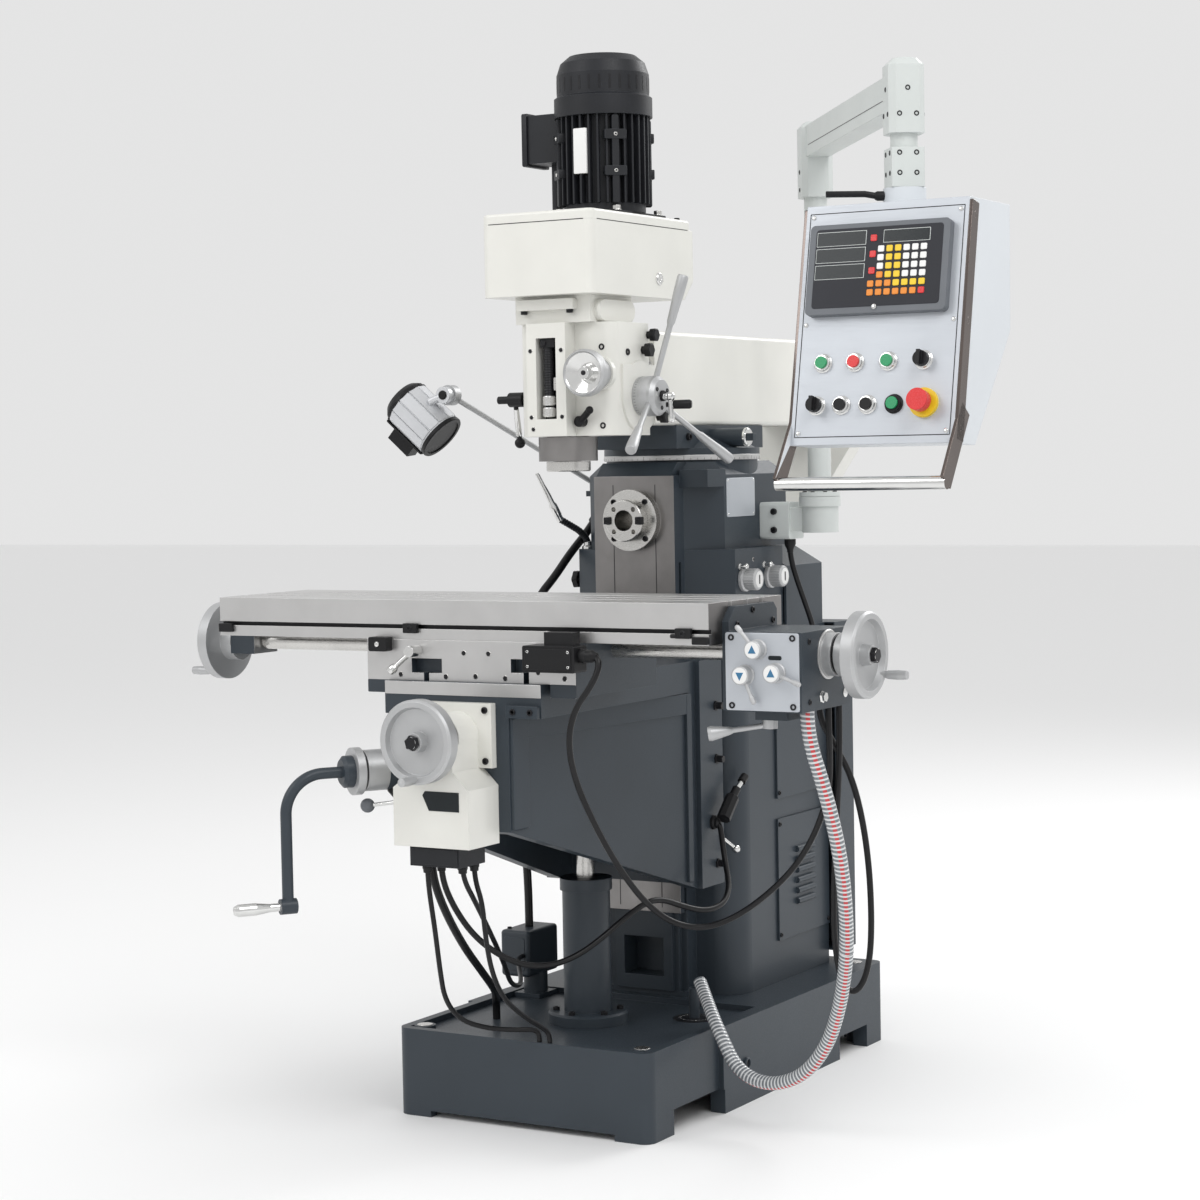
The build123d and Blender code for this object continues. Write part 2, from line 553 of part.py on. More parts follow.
with BuildPart() as lamp_head:
    lamp_up = (LAMP_BALL - LAMP_CENTRE - LAMP_AXIS * (LAMP_BALL - LAMP_CENTRE).dot(LAMP_AXIS)).normalized()
    turned(LAMP_CENTRE - LAMP_AXIS * 62, LAMP_AXIS, [
        (0, 0), (44, 0), (LAMP_R, 8), (LAMP_R, 126), (46, 126), (40, 40), (0, 40),
    ])
    with Locations(Plane(origin=LAMP_CENTRE - lamp_up * 66, x_dir=lamp_up, z_dir=LAMP_AXIS)):
        Box(36, 36, 62)
    rod(LAMP_CENTRE + lamp_up * 46 + Vector(6, -22, 0), LAMP_BALL + Vector(0, -21, 0), 9)
    rod(LAMP_BALL + Vector(0, -30, 0), LAMP_BALL + Vector(0, -11 - GAP, 0), 18)
    rod(LAMP_BALL + Vector(0, -12, 0), LAMP_BALL + Vector(0, 11, 0), 8)

# Knee: hollow casting that rides on the column ways
with BuildPart() as knee:
    with BuildSketch(Plane.YZ):
        with BuildLine():
            Polyline(
                (KNEE_Y[0], KNEE_TOP), (KNEE_Y[1], KNEE_TOP), (KNEE_Y[1], KNEE_BOTTOM[1]),
                (-110, KNEE_BOTTOM[1]), (KNEE_Y[0], KNEE_BOTTOM[0]), close=True,
            )
        make_face()
    extrude(amount=KNEE_X, both=True)
    for side in (-1, 1):
        with BuildSketch(Plane.XY.offset(KNEE_BOTTOM[1])):
            with BuildLine():
                Polyline(
                    (side * KNEE_NOSE_X, KNEE_Y[0]), (side * 2 * KNEE_X, KNEE_Y[0]),
                    (side * 2 * KNEE_X, KNEE_TAPER_Y), (side * KNEE_X, KNEE_TAPER_Y), close=True,
                )
            make_face()
        extrude(amount=KNEE_FLANGE_Z - KNEE_BOTTOM[1], mode=Mode.SUBTRACT)
    with BuildSketch(Plane.XY.offset(KNEE_BOTTOM[1] - 1)):
        with BuildLine():
            Polyline((-80, -690), (80, -690), (150, -110), (150, -70), (-150, -70), (-150, -110), close=True)
        make_face()
    extrude(amount=KNEE_CAVITY_TOP - KNEE_BOTTOM[1] + 1, mode=Mode.SUBTRACT)
    block(spans(32), (-688, -365), (KNEE_CAVITY_TOP, KNEE_TOP), Mode.SUBTRACT)
    for side in (-1, 1):
        block(sorted((side * 99, side * KNEE_JAW_X)), (-110, -12), (KNEE_BOTTOM[1], KNEE_TOP))
        block(sorted((side * 84, side * 99)), (STEM_Y[0] + GAP, -12), (KNEE_BOTTOM[1], KNEE_TOP))
    block(spans(150), (-110, -70), (KNEE_BOTTOM[1], KNEE_CAVITY_TOP), Mode.SUBTRACT)
    rod(CRANK_FROM + CRANK_AXIS * -125, CRANK_FROM, 40)
    rod(CRANK_FROM + CRANK_AXIS * -95, CRANK_FROM, 14 + RUN, Mode.SUBTRACT)
    rod((0, KNEE_Y[0], CROSS_Z), (0, -690, CROSS_Z), 14, Mode.SUBTRACT)
    rod((0, LIFT_Y, 820), (0, LIFT_Y, KNEE_CAVITY_TOP + 5), 40)
    rod((0, LIFT_Y, 820), (0, LIFT_Y, KNEE_CAVITY_TOP), LIFT_R + RUN, Mode.SUBTRACT)

with BuildPart() as elevating_screw:
    rod((0, LIFT_Y, 320), (0, LIFT_Y, 838), LIFT_R)
    turned((0, LIFT_Y, 0), (0, 0, 1), [(0, 795), (30, 795), (45, 808), (45, 815), (0, 815)])

with BuildPart() as knee_crank:
    turned(CRANK_FROM, CRANK_AXIS, [
        (0, -90), (14, -90), (14, GAP), (40, GAP), (40, 44), (34, 44), (34, 50), (46, 50), (46, 66),
        (31, 66), (31, 82), (24, 88), (0, 88),
    ])
    elbow = CRANK_FROM + CRANK_AXIS * CRANK_REACH
    crank_end = elbow - Vector(0, 0, CRANK_DROP)
    bent_tube([CRANK_FROM + CRANK_AXIS * 76, elbow, crank_end], CRANK_TUBE_R, CRANK_BEND)
    rod(crank_end - CRANK_AXIS * 16, crank_end + CRANK_AXIS * 16, 15)
    turned(crank_end + CRANK_AXIS * 15, CRANK_AXIS, [
        (0, 0), (8, 0), (8, 22), (9, 28), (12, 50), (12, 84), (8, 92), (0, 94),
    ])

# Knee gearbox: off-white case with the cross-feed bearing and the terminal box below
with BuildPart() as knee_gearbox:
    with BuildSketch(Plane.XZ.offset(-KNEE_Y[0])):
        with BuildLine():
            Polyline(
                (-91, 601), (79, 601), (79, 712), (45, 745), (45, 806), (-45, 806), (-45, 745), (-91, 712),
                close=True,
            )
        make_face()
    extrude(amount=KNEE_Y[0] - GEARBOX_FRONT_Y)
    rod((0, KNEE_Y[0], CROSS_Z), (0, GEARBOX_FRONT_Y, CROSS_Z), 46)
    block(spans(76), (-731, KNEE_Y[0]), (745, 868))
    block((-62, 50), (-810, -722), (563, 601))
    rod((0, GEARBOX_FRONT_Y, CROSS_Z), (0, KNEE_Y[0], CROSS_Z), CROSS_R + RUN, Mode.SUBTRACT)

with BuildPart() as cross_handwheel:
    rod((0, GEARBOX_FRONT_Y - 72, CROSS_Z), (0, -372, CROSS_Z), CROSS_R)
    turned((0, GEARBOX_FRONT_Y - GAP, CROSS_Z), (0, -1, 0), [(0, 0), *WHEEL_PROFILE, (0, 62)])
    turned((0, GEARBOX_FRONT_Y - 52, CROSS_Z - HANDLE_AT), (0, -1, 0), HANDLE_PROFILE)

# Saddle with its screw bore and cross-feed nut, and the table with its tee slots
with BuildPart() as saddle:
    block(SADDLE_X, SADDLE_Y, (KNEE_TOP, SADDLE_TOP))
    block((SADDLE_X[0], -KNEE_X - GAP), SADDLE_Y, (880, KNEE_TOP))
    block((KNEE_JAW_X, SADDLE_X[1]), SADDLE_Y, (880, KNEE_TOP))
    block(SADDLE_X, (-605, -493), (SADDLE_TOP, 1006))
    block(spans(25), (-560, -500), (785, KNEE_TOP))
    nut_ends = [(nut_x, TABLE_MID_Y, SCREW_Z) for nut_x in SADDLE_X]
    rod(*nut_ends, SCREW_R + RUN, Mode.SUBTRACT)
    rod((0, -560, CROSS_Z), (0, -500, CROSS_Z), CROSS_R + RUN, Mode.SUBTRACT)
    for window_x, window_z in (((-124, -54), (920, 948)), ((103, 143), (925, 951))):
        block(window_x, (SADDLE_Y[0], -680), window_z, Mode.SUBTRACT)
    for slot_x in ((-96, -84), (131, 143)):
        block(slot_x, (SADDLE_Y[0], -680), (KNEE_TOP, 930), Mode.SUBTRACT)
    rod((-108, SADDLE_Y[0], 963), (-108, -668, 963), 8 + RUN, Mode.SUBTRACT)

with BuildPart() as saddle_clamp_lever:
    turned((-108, SADDLE_Y[0], 963), (0, -1, 0), [
        (0, -28), (8, -28), (8, GAP), (11, GAP), (11, 34), (0, 34),
    ])
    turned((-108, -722, 963), (-41, -14, -38), [
        (0, 0), (5, 0), (5, 42), (8, 46), (9, 53), (8, 60), (0, 63),
    ])

with BuildPart() as table_limit_switch:
    block((157, 270), (-745, SADDLE_Y[0]), (931, 981))
    fillet(table_limit_switch.edges().filter_by(Axis.Y), 4)
    block((200, 262), (-736, -709), (981, 1006))
    rod((270, -722, 962), (288, -722, 962), 11)

with BuildPart() as table:
    block(TABLE_X, TABLE_Y, (SADDLE_TOP, TABLE_TOP))
    for tee in (-1, 0, 1):
        tee_y = TABLE_MID_Y + TEE_PITCH * tee
        block(TABLE_X, (tee_y - TEE_NECK / 2, tee_y + TEE_NECK / 2), (1049, TABLE_TOP), Mode.SUBTRACT)
        block(TABLE_X, (tee_y - TEE_HEAD / 2, tee_y + TEE_HEAD / 2), (1039, 1049), Mode.SUBTRACT)
    block(TABLE_X, (TABLE_Y[0], TABLE_Y[0] + 10), (1005, 1013), Mode.SUBTRACT)
    block(TABLE_X, (-606, -492), (SADDLE_TOP, 1007), Mode.SUBTRACT)
    block((BRACKET_LEFT_X, TABLE_X[0]), (-588, -510), (938, 1035))
    bearing_ends = [(bearing_x, TABLE_MID_Y, SCREW_Z) for bearing_x in (BRACKET_LEFT_X, TABLE_X[0])]
    rod(*bearing_ends, SCREW_END_R + RUN, Mode.SUBTRACT)

with BuildPart() as table_screw:
    rod((-590, TABLE_MID_Y, SCREW_Z), (524, TABLE_MID_Y, SCREW_Z), SCREW_R)
    rod((BRACKET_LEFT_X - 72, TABLE_MID_Y, SCREW_Z), (FEED_BOSS_X + 78, TABLE_MID_Y, SCREW_Z), SCREW_END_R)

# Both table handwheels: same wheel, one at each end of the screw
with BuildPart() as table_handwheels:
    wheel_bore = SCREW_END_R + RUN
    wheel_section = [(wheel_bore, 0), *WHEEL_PROFILE, (wheel_bore, 62)]
    turned((FEED_BOSS_X + 6, TABLE_MID_Y, SCREW_Z), (1, 0, 0), wheel_section)
    turned((FEED_BOSS_X + 58, TABLE_MID_Y + 57, SCREW_Z - 40), (1, 0, 0), HANDLE_PROFILE)
    turned((BRACKET_LEFT_X - GAP, TABLE_MID_Y, SCREW_Z), (-1, 0, 0), wheel_section)
    turned((BRACKET_LEFT_X - 52, TABLE_MID_Y - 32, SCREW_Z - 62), (-1, 0, 0), HANDLE_PROFILE)

with BuildPart() as feed_gearbox:
    block(FEED_X, FEED_Y, FEED_Z)
    with BuildSketch(Plane.YZ.offset(TABLE_X[1])):
        with BuildLine():
            Polyline(
                (-645, FEED_Z[0]), (-645, 1025), (-618, 1052), (-462, 1052), (-448, 1038), (-448, FEED_Z[0]),
                close=True,
            )
        make_face()
    extrude(amount=FEED_X[0] - TABLE_X[1])
    block((585, 650), (-630, -560), (LEVER_PIVOT[2], FEED_Z[0]))
    rod((FEED_X[1], TABLE_MID_Y, SCREW_Z), (FEED_BOSS_X, TABLE_MID_Y, SCREW_Z), FEED_BOSS_R)
    bore_ends = [(bore_x, TABLE_MID_Y, SCREW_Z) for bore_x in (TABLE_X[1], FEED_BOSS_X)]
    rod(*bore_ends, SCREW_END_R + RUN, Mode.SUBTRACT)
    for knob_x, knob_z in SELECTOR_XZ:
        rod((knob_x, FEED_Y[0], knob_z), (knob_x, FEED_Y[0] + 20, knob_z), 6 + RUN, Mode.SUBTRACT)
    rod(LEVER_PIVOT, (*LEVER_PIVOT[:2], 861), 6 + RUN, Mode.SUBTRACT)

selectors = []
for (knob_x, knob_z), (reach_x, reach_z) in zip(SELECTOR_XZ, SELECTOR_REACH):
    with BuildPart() as feed_selector:
        turned((knob_x, FEED_Y[0], knob_z), (0, -1, 0), [
            (0, -18), (6, -18), (6, GAP), (19, GAP), (19, 4), (17, 6), (17, 24), (15.5, 25.5), (0, 25.5),
        ])
        turned((knob_x, FEED_Y[0] - 14, knob_z), (reach_x, 0, reach_z), [
            (0, 10), (3.5, 10), (3.5, 40), (5, 44), (5, 54), (3, 57), (0, 57),
        ])
    selectors.append(feed_selector)

with BuildPart() as feed_lever:
    turned(LEVER_PIVOT, (0, 0, -1), [(0, -15), (6, -15), (6, GAP), (14, GAP), (14, 18), (0, 20)])
    lever_root = Vector(*LEVER_PIVOT[:2], 834)
    rod(lever_root, lever_root + LEVER_RUN * 0.8, 5)
    turned(lever_root + LEVER_RUN * 0.64, LEVER_RUN, [(0, 0), (5.5, 0), (8, 8), (14, 40), (13, 46), (0, 46)])

# Control pendant: swinging boom, hollow box on its drop tube, readout and controls
reach_out = Vector(DROP_XY[0] - POST_XY[0], DROP_XY[1] - POST_XY[1], 0)


def arm_elbow(at, z_span):
    """A block at one end of the boom, bevelled on its uprights and round its top."""
    with BuildPart(mode=Mode.PRIVATE) as elbow:
        with Locations(Plane(origin=(*at, sum(z_span) / 2), x_dir=reach_out, z_dir=(0, 0, 1))):
            Box(ELBOW_W, ELBOW_W, z_span[1] - z_span[0])
        chamfer(elbow.edges().filter_by(Axis.Z), ELBOW_BEVEL)
        chamfer(elbow.faces().sort_by(Axis.Z)[-1].edges(), ELBOW_BEVEL)
    add(elbow.part)


with BuildPart() as pendant_arm:
    rod((*POST_XY, 1172), (*POST_XY, 1237), 26)
    rod((*POST_XY, 1236 + GAP), (*POST_XY, 1246), 44)
    rod((*POST_XY, 1246), (*POST_XY, POST_ELBOW_Z[0]), 25)
    arm_elbow(POST_XY, POST_ELBOW_Z)
    arm_elbow(DROP_XY, DROP_ELBOW_Z)
    boom_centre = Vector(*POST_XY, (BOOM_Z[0] + BOOM_Z[1]) / 2) + reach_out * 0.5
    with Locations(Plane(origin=boom_centre, x_dir=reach_out, z_dir=(0, 0, 1))):
        Box(reach_out.length, 50, BOOM_Z[1] - BOOM_Z[0])
    rod((*DROP_XY, CLAMP_Z[1]), (*DROP_XY, DROP_ELBOW_Z[0]), 25.5)
    with Locations(Plane(origin=(*DROP_XY, sum(CLAMP_Z) / 2), x_dir=reach_out, z_dir=(0, 0, 1))):
        Box(CLAMP_W, CLAMP_W, CLAMP_Z[1] - CLAMP_Z[0])
    rod((*DROP_XY, CLAMP_Z[0]), (*DROP_XY, 1872), 15 + RUN, Mode.SUBTRACT)

panel_up = Vector(0, BOX_SIDE[1][0] - BOX_SIDE[0][0], BOX_SIDE[1][1] - BOX_SIDE[0][1]).normalized()
panel_out = Vector(1, 0, 0).cross(panel_up)
panel = Plane(
    origin=(sum(PANEL_X) / 2, BOX_SIDE[0][0], BOX_SIDE[0][1]), x_dir=(1, 0, 0), z_dir=panel_out
)


def stud(at, low, high, radius, mode=Mode.ADD):
    """A cylinder on the pendant panel, from one height to another along the panel's normal."""
    rod(panel.from_local_coords((*at, low)), panel.from_local_coords((*at, high)), radius, mode)


with BuildPart() as pendant_box:
    with BuildSketch(Plane.YZ.offset(PANEL_X[0])):
        with BuildLine():
            Polyline(*BOX_SIDE, close=True)
        make_face()
    extrude(amount=PANEL_X[1] - PANEL_X[0])
    with BuildSketch(Plane.YZ.offset(PANEL_X[0] + PANEL_WALL)):
        with BuildLine():
            Polyline(*BOX_SIDE, close=True)
        make_face()
        offset(amount=-PANEL_WALL, mode=Mode.REPLACE)
    extrude(amount=PANEL_X[1] - PANEL_X[0] - 2 * PANEL_WALL, mode=Mode.SUBTRACT)
    rod((*DROP_XY, 1783), (*DROP_XY, 1817 - GAP), 40)
    rod((*DROP_XY, 1810), (*DROP_XY, 1868), 15)
    for strap_x in (PANEL_X[0] - 3, PANEL_X[1] + 3):
        strap = Vector(0, -90, -130)
        with Locations(Plane(origin=(strap_x, -555, 1339), x_dir=(1, 0, 0), z_dir=strap)):
            Box(6, 40, strap.length)
    rod((PANEL_X[0] - 6, -600, 1274), (PANEL_X[1] + 6, -600, 1274), 12.5)
    for button_at in (*PUSH_AT.values(), *TURN_AT.values()):
        stud(button_at, -PANEL_WALL, BEZEL_H, BEZEL_R)
        stud(button_at, -PANEL_WALL - 2, BEZEL_H, BUTTON_HOLE_R, Mode.SUBTRACT)
    stud(STOP_AT, -PANEL_WALL, BEZEL_H, STOP_BASE_R)
    stud(STOP_AT, -PANEL_WALL - 2, BEZEL_H, STOP_STEM_R + GAP, Mode.SUBTRACT)

with BuildPart() as dro_console:
    console_centre = panel.from_local_coords((-3.5, 323.5, 9))
    with Locations(Plane(origin=console_centre, x_dir=panel.x_dir, z_dir=panel_out)):
        Box(277, 169, 18)
    fillet(dro_console.edges().filter_by(Axis(origin=(0, 0, 0), direction=panel_out)), 9)

pieces = {}
for name, button_at in PUSH_AT.items():
    with BuildPart() as push_button:
        stud(button_at, -8, 13, BUTTON_R)
    pieces[name] = push_button

for name, switch_at in TURN_AT.items():
    with BuildPart() as turn_switch:
        stud(switch_at, -8, BEZEL_H + 4, BUTTON_R)
        stud(switch_at, BEZEL_H + GAP, BEZEL_H + 12, 14)
        grip_centre = panel.from_local_coords((*switch_at, 24))
        with Locations(Plane(origin=grip_centre, x_dir=panel.x_dir, z_dir=panel_out)):
            Box(7, 27, 12)
    pieces[name] = turn_switch

with BuildPart() as emergency_stop:
    stud(STOP_AT, -12, 22, STOP_STEM_R)
    stud(STOP_AT, 18, 38, STOP_HEAD_R)

# Cords: each leaves and meets a face squarely
with BuildPart() as coolant_hose:
    cord([
        (676, -601, FEED_Z[0]), (676, -601, 815), (698, -580, 720), (711, -545, 600), (705, -508, 480),
        (684, -465, 380), (648, -420, 285), (605, -385, 198), (545, -368, 128), (464, -353, 96),
        (384, -336, 112), (330, -312, 182), (262, -242, 236), (236, -214, 258),
    ], 14, 10)

with BuildPart() as table_cables:
    cord([
        (288, -722, 962), (306, -722, 962), (314, -728, 942), (302, -738, 908), (268, -742, 866),
        (244, -730, 805), (239, -700, 727), (256, -650, 627), (276, -600, 545), (298, -545, 475),
        (328, -495, 430), (370, -448, 414), (427, -422, 435), (503, -420, 489), (572, -436, 552),
        (626, -460, 625), (664, -485, 705), (680, -516, 780), (682, -524, 825), (682, -524, FEED_Z[0]),
    ], CABLE_R)
    cord([
        (640, -475, FEED_Z[0]), (640, -475, 835), (660, -460, 790), (684, -432, 725), (694, -402, 630),
        (698, -384, 520), (697, -380, 400), (684, -380, 330), (662, -388, 300), (640, -396, 324),
        (634, -412, 400), (645, -434, 500), (662, -456, 620), (678, -474, 740), (682, -478, 800),
        (682, -478, FEED_Z[0]),
    ], CABLE_R)

# The knee's cable and the four cables that hang from its gearbox to the base
with BuildPart() as knee_cables:
    cord([
        (KNEE_JAW_X, -60, 563), (206, -60, 563), (214, -66, 530), (228, -80, 482), (252, -108, 442),
        (264, -150, 415), (258, -195, 405), (243, -230, 408), (223, -270, 423), (205, -310, 440),
        (192, -350, 440), (172, -400, 416), (145, -450, 380), (115, -492, 350), (83, -540, 335),
        (52, -590, 341), (22, -640, 369), (-2, -690, 414), (-16, -735, 475), (-18, -770, 535),
        (-18, -770, 563),
    ], CABLE_R)
    cord([
        (-31, -798, 563), (-31, -798, 530), (-36, -770, 435), (-47, -740, 351), (-64, -700, 284),
        (-60, -655, 237), (-31, -610, 215), (5, -568, 206), (36, -535, 204), (42, -526, 194),
        (42, -526, BASE_TOP),
    ], WIRE_R)
    cord([
        (-46, -760, 563), (-46, -760, 535), (-48, -720, 465), (-58, -640, 380), (-81, -540, 310),
        (-122, -430, 250), (-172, -350, 218), (-184, -330, 198), (-184, -330, TRAY_FLOOR),
    ], 8)
    cord([
        (38, -782, 563), (38, -782, 540), (40, -740, 485), (24, -660, 405), (-14, -560, 332),
        (-66, -460, 274), (-98, -380, 250), (-140, -300, 242), (-205, -205, 250), (-232, -168, 262),
        (-232, -145, 262),
    ], WIRE_R)
    cord([
        (40, -745, 563), (40, -745, 535), (60, -750, 490), (58, -740, 430), (44, -700, 351),
        (38, -650, 286), (48, -590, 240), (60, -545, 212), (66, -526, 196), (66, -526, BASE_TOP),
    ], WIRE_R)

# The pendant's cable to the cabinet, and the coolant supply hose from the pump to the column
with BuildPart() as column_cables:
    cord([
        (222, 258, 1130), (222, 258, 1105), (231, 267, 1060), (239, 291, 1006), (244, 322, 950),
        (240, 350, 880), (224, 385, 805), (214, 425, 770), (214, COLUMN_Y[1], 770),
    ], CABLE_R)
    cord([
        SUPPLY_END, (-189.15, 88.8, 1167.1), (-208, 45, 1122), (-219, -8, 1070), (-228, -52, 1036),
        (-236, -82, 985), (-243, -100, 900), (-248, -106, 790), (-252, -103, 660), (-254, -95, 530),
        (-254, -86, 430), (-254, -83, 370), (-254, -83, 315),
    ], SUPPLY_R)

pieces.update({
    "base": base, "column": column, "screw_pedestal": screw_pedestal, "column_covers": column_covers,
    "electrical_cabinet": electrical_cabinet, "coolant_pump": coolant_pump,
    "pendant_bracket": pendant_bracket, "speed_dial_front": dials[0], "speed_dial_rear": dials[1],
    "horizontal_spindle": horizontal_spindle, "turret": turret, "ram": ram,
    "arbor_support": arbor_support, "head": head, "belt_housing": belt_housing, "belt_lid": belt_lid,
    "drive_motor": drive_motor, "quill": quill, "vertical_spindle": vertical_spindle,
    "quill_feed_hub": quill_feed_hub, "fine_feed_wheel": fine_feed_wheel,
    "quill_lock_lever": quill_lock_lever, "feed_clutch_lever": feed_clutch_lever,
    "motor_pulley": motor_pulley, "spindle_pulley": spindle_pulley, "drive_belt": drive_belt,
    "lamp_arm": lamp_arm, "lamp_head": lamp_head, "knee": knee, "elevating_screw": elevating_screw,
    "knee_crank": knee_crank, "knee_gearbox": knee_gearbox, "cross_handwheel": cross_handwheel,
    "saddle": saddle, "saddle_clamp_lever": saddle_clamp_lever,
    "table_limit_switch": table_limit_switch, "table": table, "table_screw": table_screw,
    "table_handwheels": table_handwheels, "feed_gearbox": feed_gearbox,
    "feed_selector_top": selectors[0], "feed_selector_left": selectors[1],
    "feed_selector_right": selectors[2], "feed_lever": feed_lever, "pendant_arm": pendant_arm,
    "pendant_box": pendant_box, "dro_console": dro_console, "emergency_stop": emergency_stop,
    "coolant_hose": coolant_hose, "table_cables": table_cables, "knee_cables": knee_cables,
    "column_cables": column_cables,
})
for name, piece in pieces.items():
    piece.part.label = name
    export_step(piece.part, f"parts/{name}.step")
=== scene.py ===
"""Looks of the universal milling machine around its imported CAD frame. Metres, x right, y back, z up."""
import math
from itertools import product

import bmesh
import bpy
from mathutils import Matrix, Vector


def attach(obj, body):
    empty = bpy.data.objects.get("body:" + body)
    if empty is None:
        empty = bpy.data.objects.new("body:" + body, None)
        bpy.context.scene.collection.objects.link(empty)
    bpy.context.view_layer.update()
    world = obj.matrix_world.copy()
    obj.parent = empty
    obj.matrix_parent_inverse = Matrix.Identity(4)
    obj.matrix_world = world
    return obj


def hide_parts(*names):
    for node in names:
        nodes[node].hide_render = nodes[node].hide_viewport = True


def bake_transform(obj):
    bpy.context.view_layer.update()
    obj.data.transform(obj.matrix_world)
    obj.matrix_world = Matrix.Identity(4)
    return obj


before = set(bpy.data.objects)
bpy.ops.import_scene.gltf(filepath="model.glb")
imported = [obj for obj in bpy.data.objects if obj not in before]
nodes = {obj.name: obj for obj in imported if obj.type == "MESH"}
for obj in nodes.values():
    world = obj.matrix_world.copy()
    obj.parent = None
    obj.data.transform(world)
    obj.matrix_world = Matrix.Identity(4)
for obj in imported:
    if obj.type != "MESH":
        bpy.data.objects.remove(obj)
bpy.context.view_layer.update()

# Camera of the photograph
IMAGE_PX = 1200
FOCAL_PX = 2674.5
CENTRE_PX = 594.93
SENSOR = 36.0
CAMERA_AT = Vector((2.8084, -4.9725, 1.3294))
AZIMUTH, PITCH, ROLL = (math.radians(angle) for angle in (30.51, -3.05, -1.08))

X, Y, Z = Vector((1, 0, 0)), Vector((0, 1, 0)), Vector((0, 0, 1))
FRONT, RIGHT, LEFT, TOP, BACK = -Y, X, -X, Z, Y
MM = 0.001
SKY_STRENGTH = 0.78
FLOOR_HALF = 30

# Places shared by several pieces, as in the CAD source; the lamp's is in millimetres
SPINDLE_Z = 1.195
PANEL_FOOT = Vector((0.788, -0.556, 1.344))
PANEL_UP = Vector((0, 0.090, 0.441)).normalized()
PANEL_OUT = X.cross(PANEL_UP)
LAMP_AT = Vector((-480, -120, 1423))
LAMP_AXIS = Vector((0.73, 0.09, -0.676)).normalized()
LAMP_UP = Vector((0.6807, -0.0242, 0.7322)).normalized()


def place_camera():
    """The camera that the photograph's straight edges give."""
    right = Vector((math.cos(AZIMUTH), math.sin(AZIMUTH), 0))
    ahead = Vector((-math.sin(AZIMUTH), math.cos(AZIMUTH), 0))
    forward = ahead * math.cos(PITCH) + Z * math.sin(PITCH)
    up = Z * math.cos(PITCH) - ahead * math.sin(PITCH)
    rolled_right = right * math.cos(ROLL) + up * math.sin(ROLL)
    rolled_up = up * math.cos(ROLL) - right * math.sin(ROLL)
    data = bpy.data.cameras.new("camera")
    data.sensor_width = SENSOR
    data.lens = FOCAL_PX * SENSOR / IMAGE_PX
    data.shift_x = (IMAGE_PX / 2 - CENTRE_PX) / IMAGE_PX
    camera = bpy.data.objects.new("camera", data)
    turn = Matrix((rolled_right, rolled_up, -forward)).transposed()
    camera.matrix_world = Matrix.Translation(CAMERA_AT) @ turn.to_4x4()
    bpy.context.scene.collection.objects.link(camera)
    bpy.context.scene.camera = camera


def soft_light(name, at, aim, size, watts):
    """A large square soft light."""
    data = bpy.data.lights.new(name, "AREA")
    data.size = size
    data.energy = watts
    light = bpy.data.objects.new(name, data)
    light.location = at
    light.rotation_mode = "QUATERNION"
    light.rotation_quaternion = (Vector(aim) - Vector(at)).to_track_quat("-Z", "Y")
    bpy.context.scene.collection.objects.link(light)


def set_stage():
    """Pale floor, pale sky and three soft lights."""
    world = bpy.data.worlds.new("studio")
    world.use_nodes = True
    backdrop = world.node_tree.nodes["Background"]
    backdrop.inputs["Color"].default_value = (1.0, 1.0, 1.0, 1)
    backdrop.inputs["Strength"].default_value = SKY_STRENGTH
    bpy.context.scene.world = world
    bpy.context.scene.view_settings.view_transform = "Standard"
    soft_light("key", (-2.6, -4.4, 4.6), (0, -0.2, 1.0), 2.8, 75)
    soft_light("fill", (3.6, -2.4, 5.0), (0.2, 0, 0.9), 2.6, 105)
    soft_light("rim", (1.5, 4.5, 4.2), (0, 0, 1.2), 2.4, 100)
    shape = bmesh.new()
    bmesh.ops.create_grid(shape, x_segments=1, y_segments=1, size=FLOOR_HALF)
    mesh = bpy.data.meshes.new("floor")
    shape.to_mesh(mesh)
    shape.free()
    grey = surface("floor_grey", (0.92, 0.92, 0.92), 0.7, variation=0.0, relief=0.0, edge=0.0)
    mesh.materials.append(grey)
    floor = bpy.data.objects.new("floor", mesh)
    bpy.context.scene.collection.objects.link(floor)


# Materials


def link(tree, source, output, target, socket):
    """Joins one node's output to another's input."""
    tree.links.new(source.outputs[output], target.inputs[socket])


def tune(node, values):
    """Sets some of a node's inputs."""
    for socket, value in values.items():
        node.inputs[socket].default_value = value


def added(tree, kind, values, operation=None):
    """A new shader node with some of its inputs set."""
    node = tree.nodes.new(f"ShaderNode{kind}")
    if operation:
        node.operation = operation
    tune(node, values)
    return node


def noise(tree, coordinates, scale, detail=2.0, output=0):
    """A noise texture on the given coordinates."""
    texture = added(tree, "TexNoise", {"Scale": scale, "Detail": detail})
    link(tree, coordinates, output, texture, "Vector")
    return texture


def ranged(tree, source, output, low, high, start=0.3, end=0.7):
    """A value mapped from one range to another."""
    node = added(tree, "MapRange", {"From Min": start, "From Max": end, "To Min": low, "To Max": high})
    link(tree, source, output, node, "Value")
    return node


def mixed(tree, factor, first, second):
    """A colour between two colours; each is a colour or a node with a colour output."""
    node = added(tree, "Mix", {})
    node.data_type = "RGBA"
    tree.links.new(factor, node.inputs["Factor"])
    for socket, colour in ((6, first), (7, second)):
        if isinstance(colour, tuple):
            node.inputs[socket].default_value = (*colour, 1)
        else:
            tree.links.new(colour.outputs[2], node.inputs[socket])
    return node


def tinted(colour, factor):
    """A colour made lighter or darker."""
    return tuple(min(1.0, channel * factor) for channel in colour)


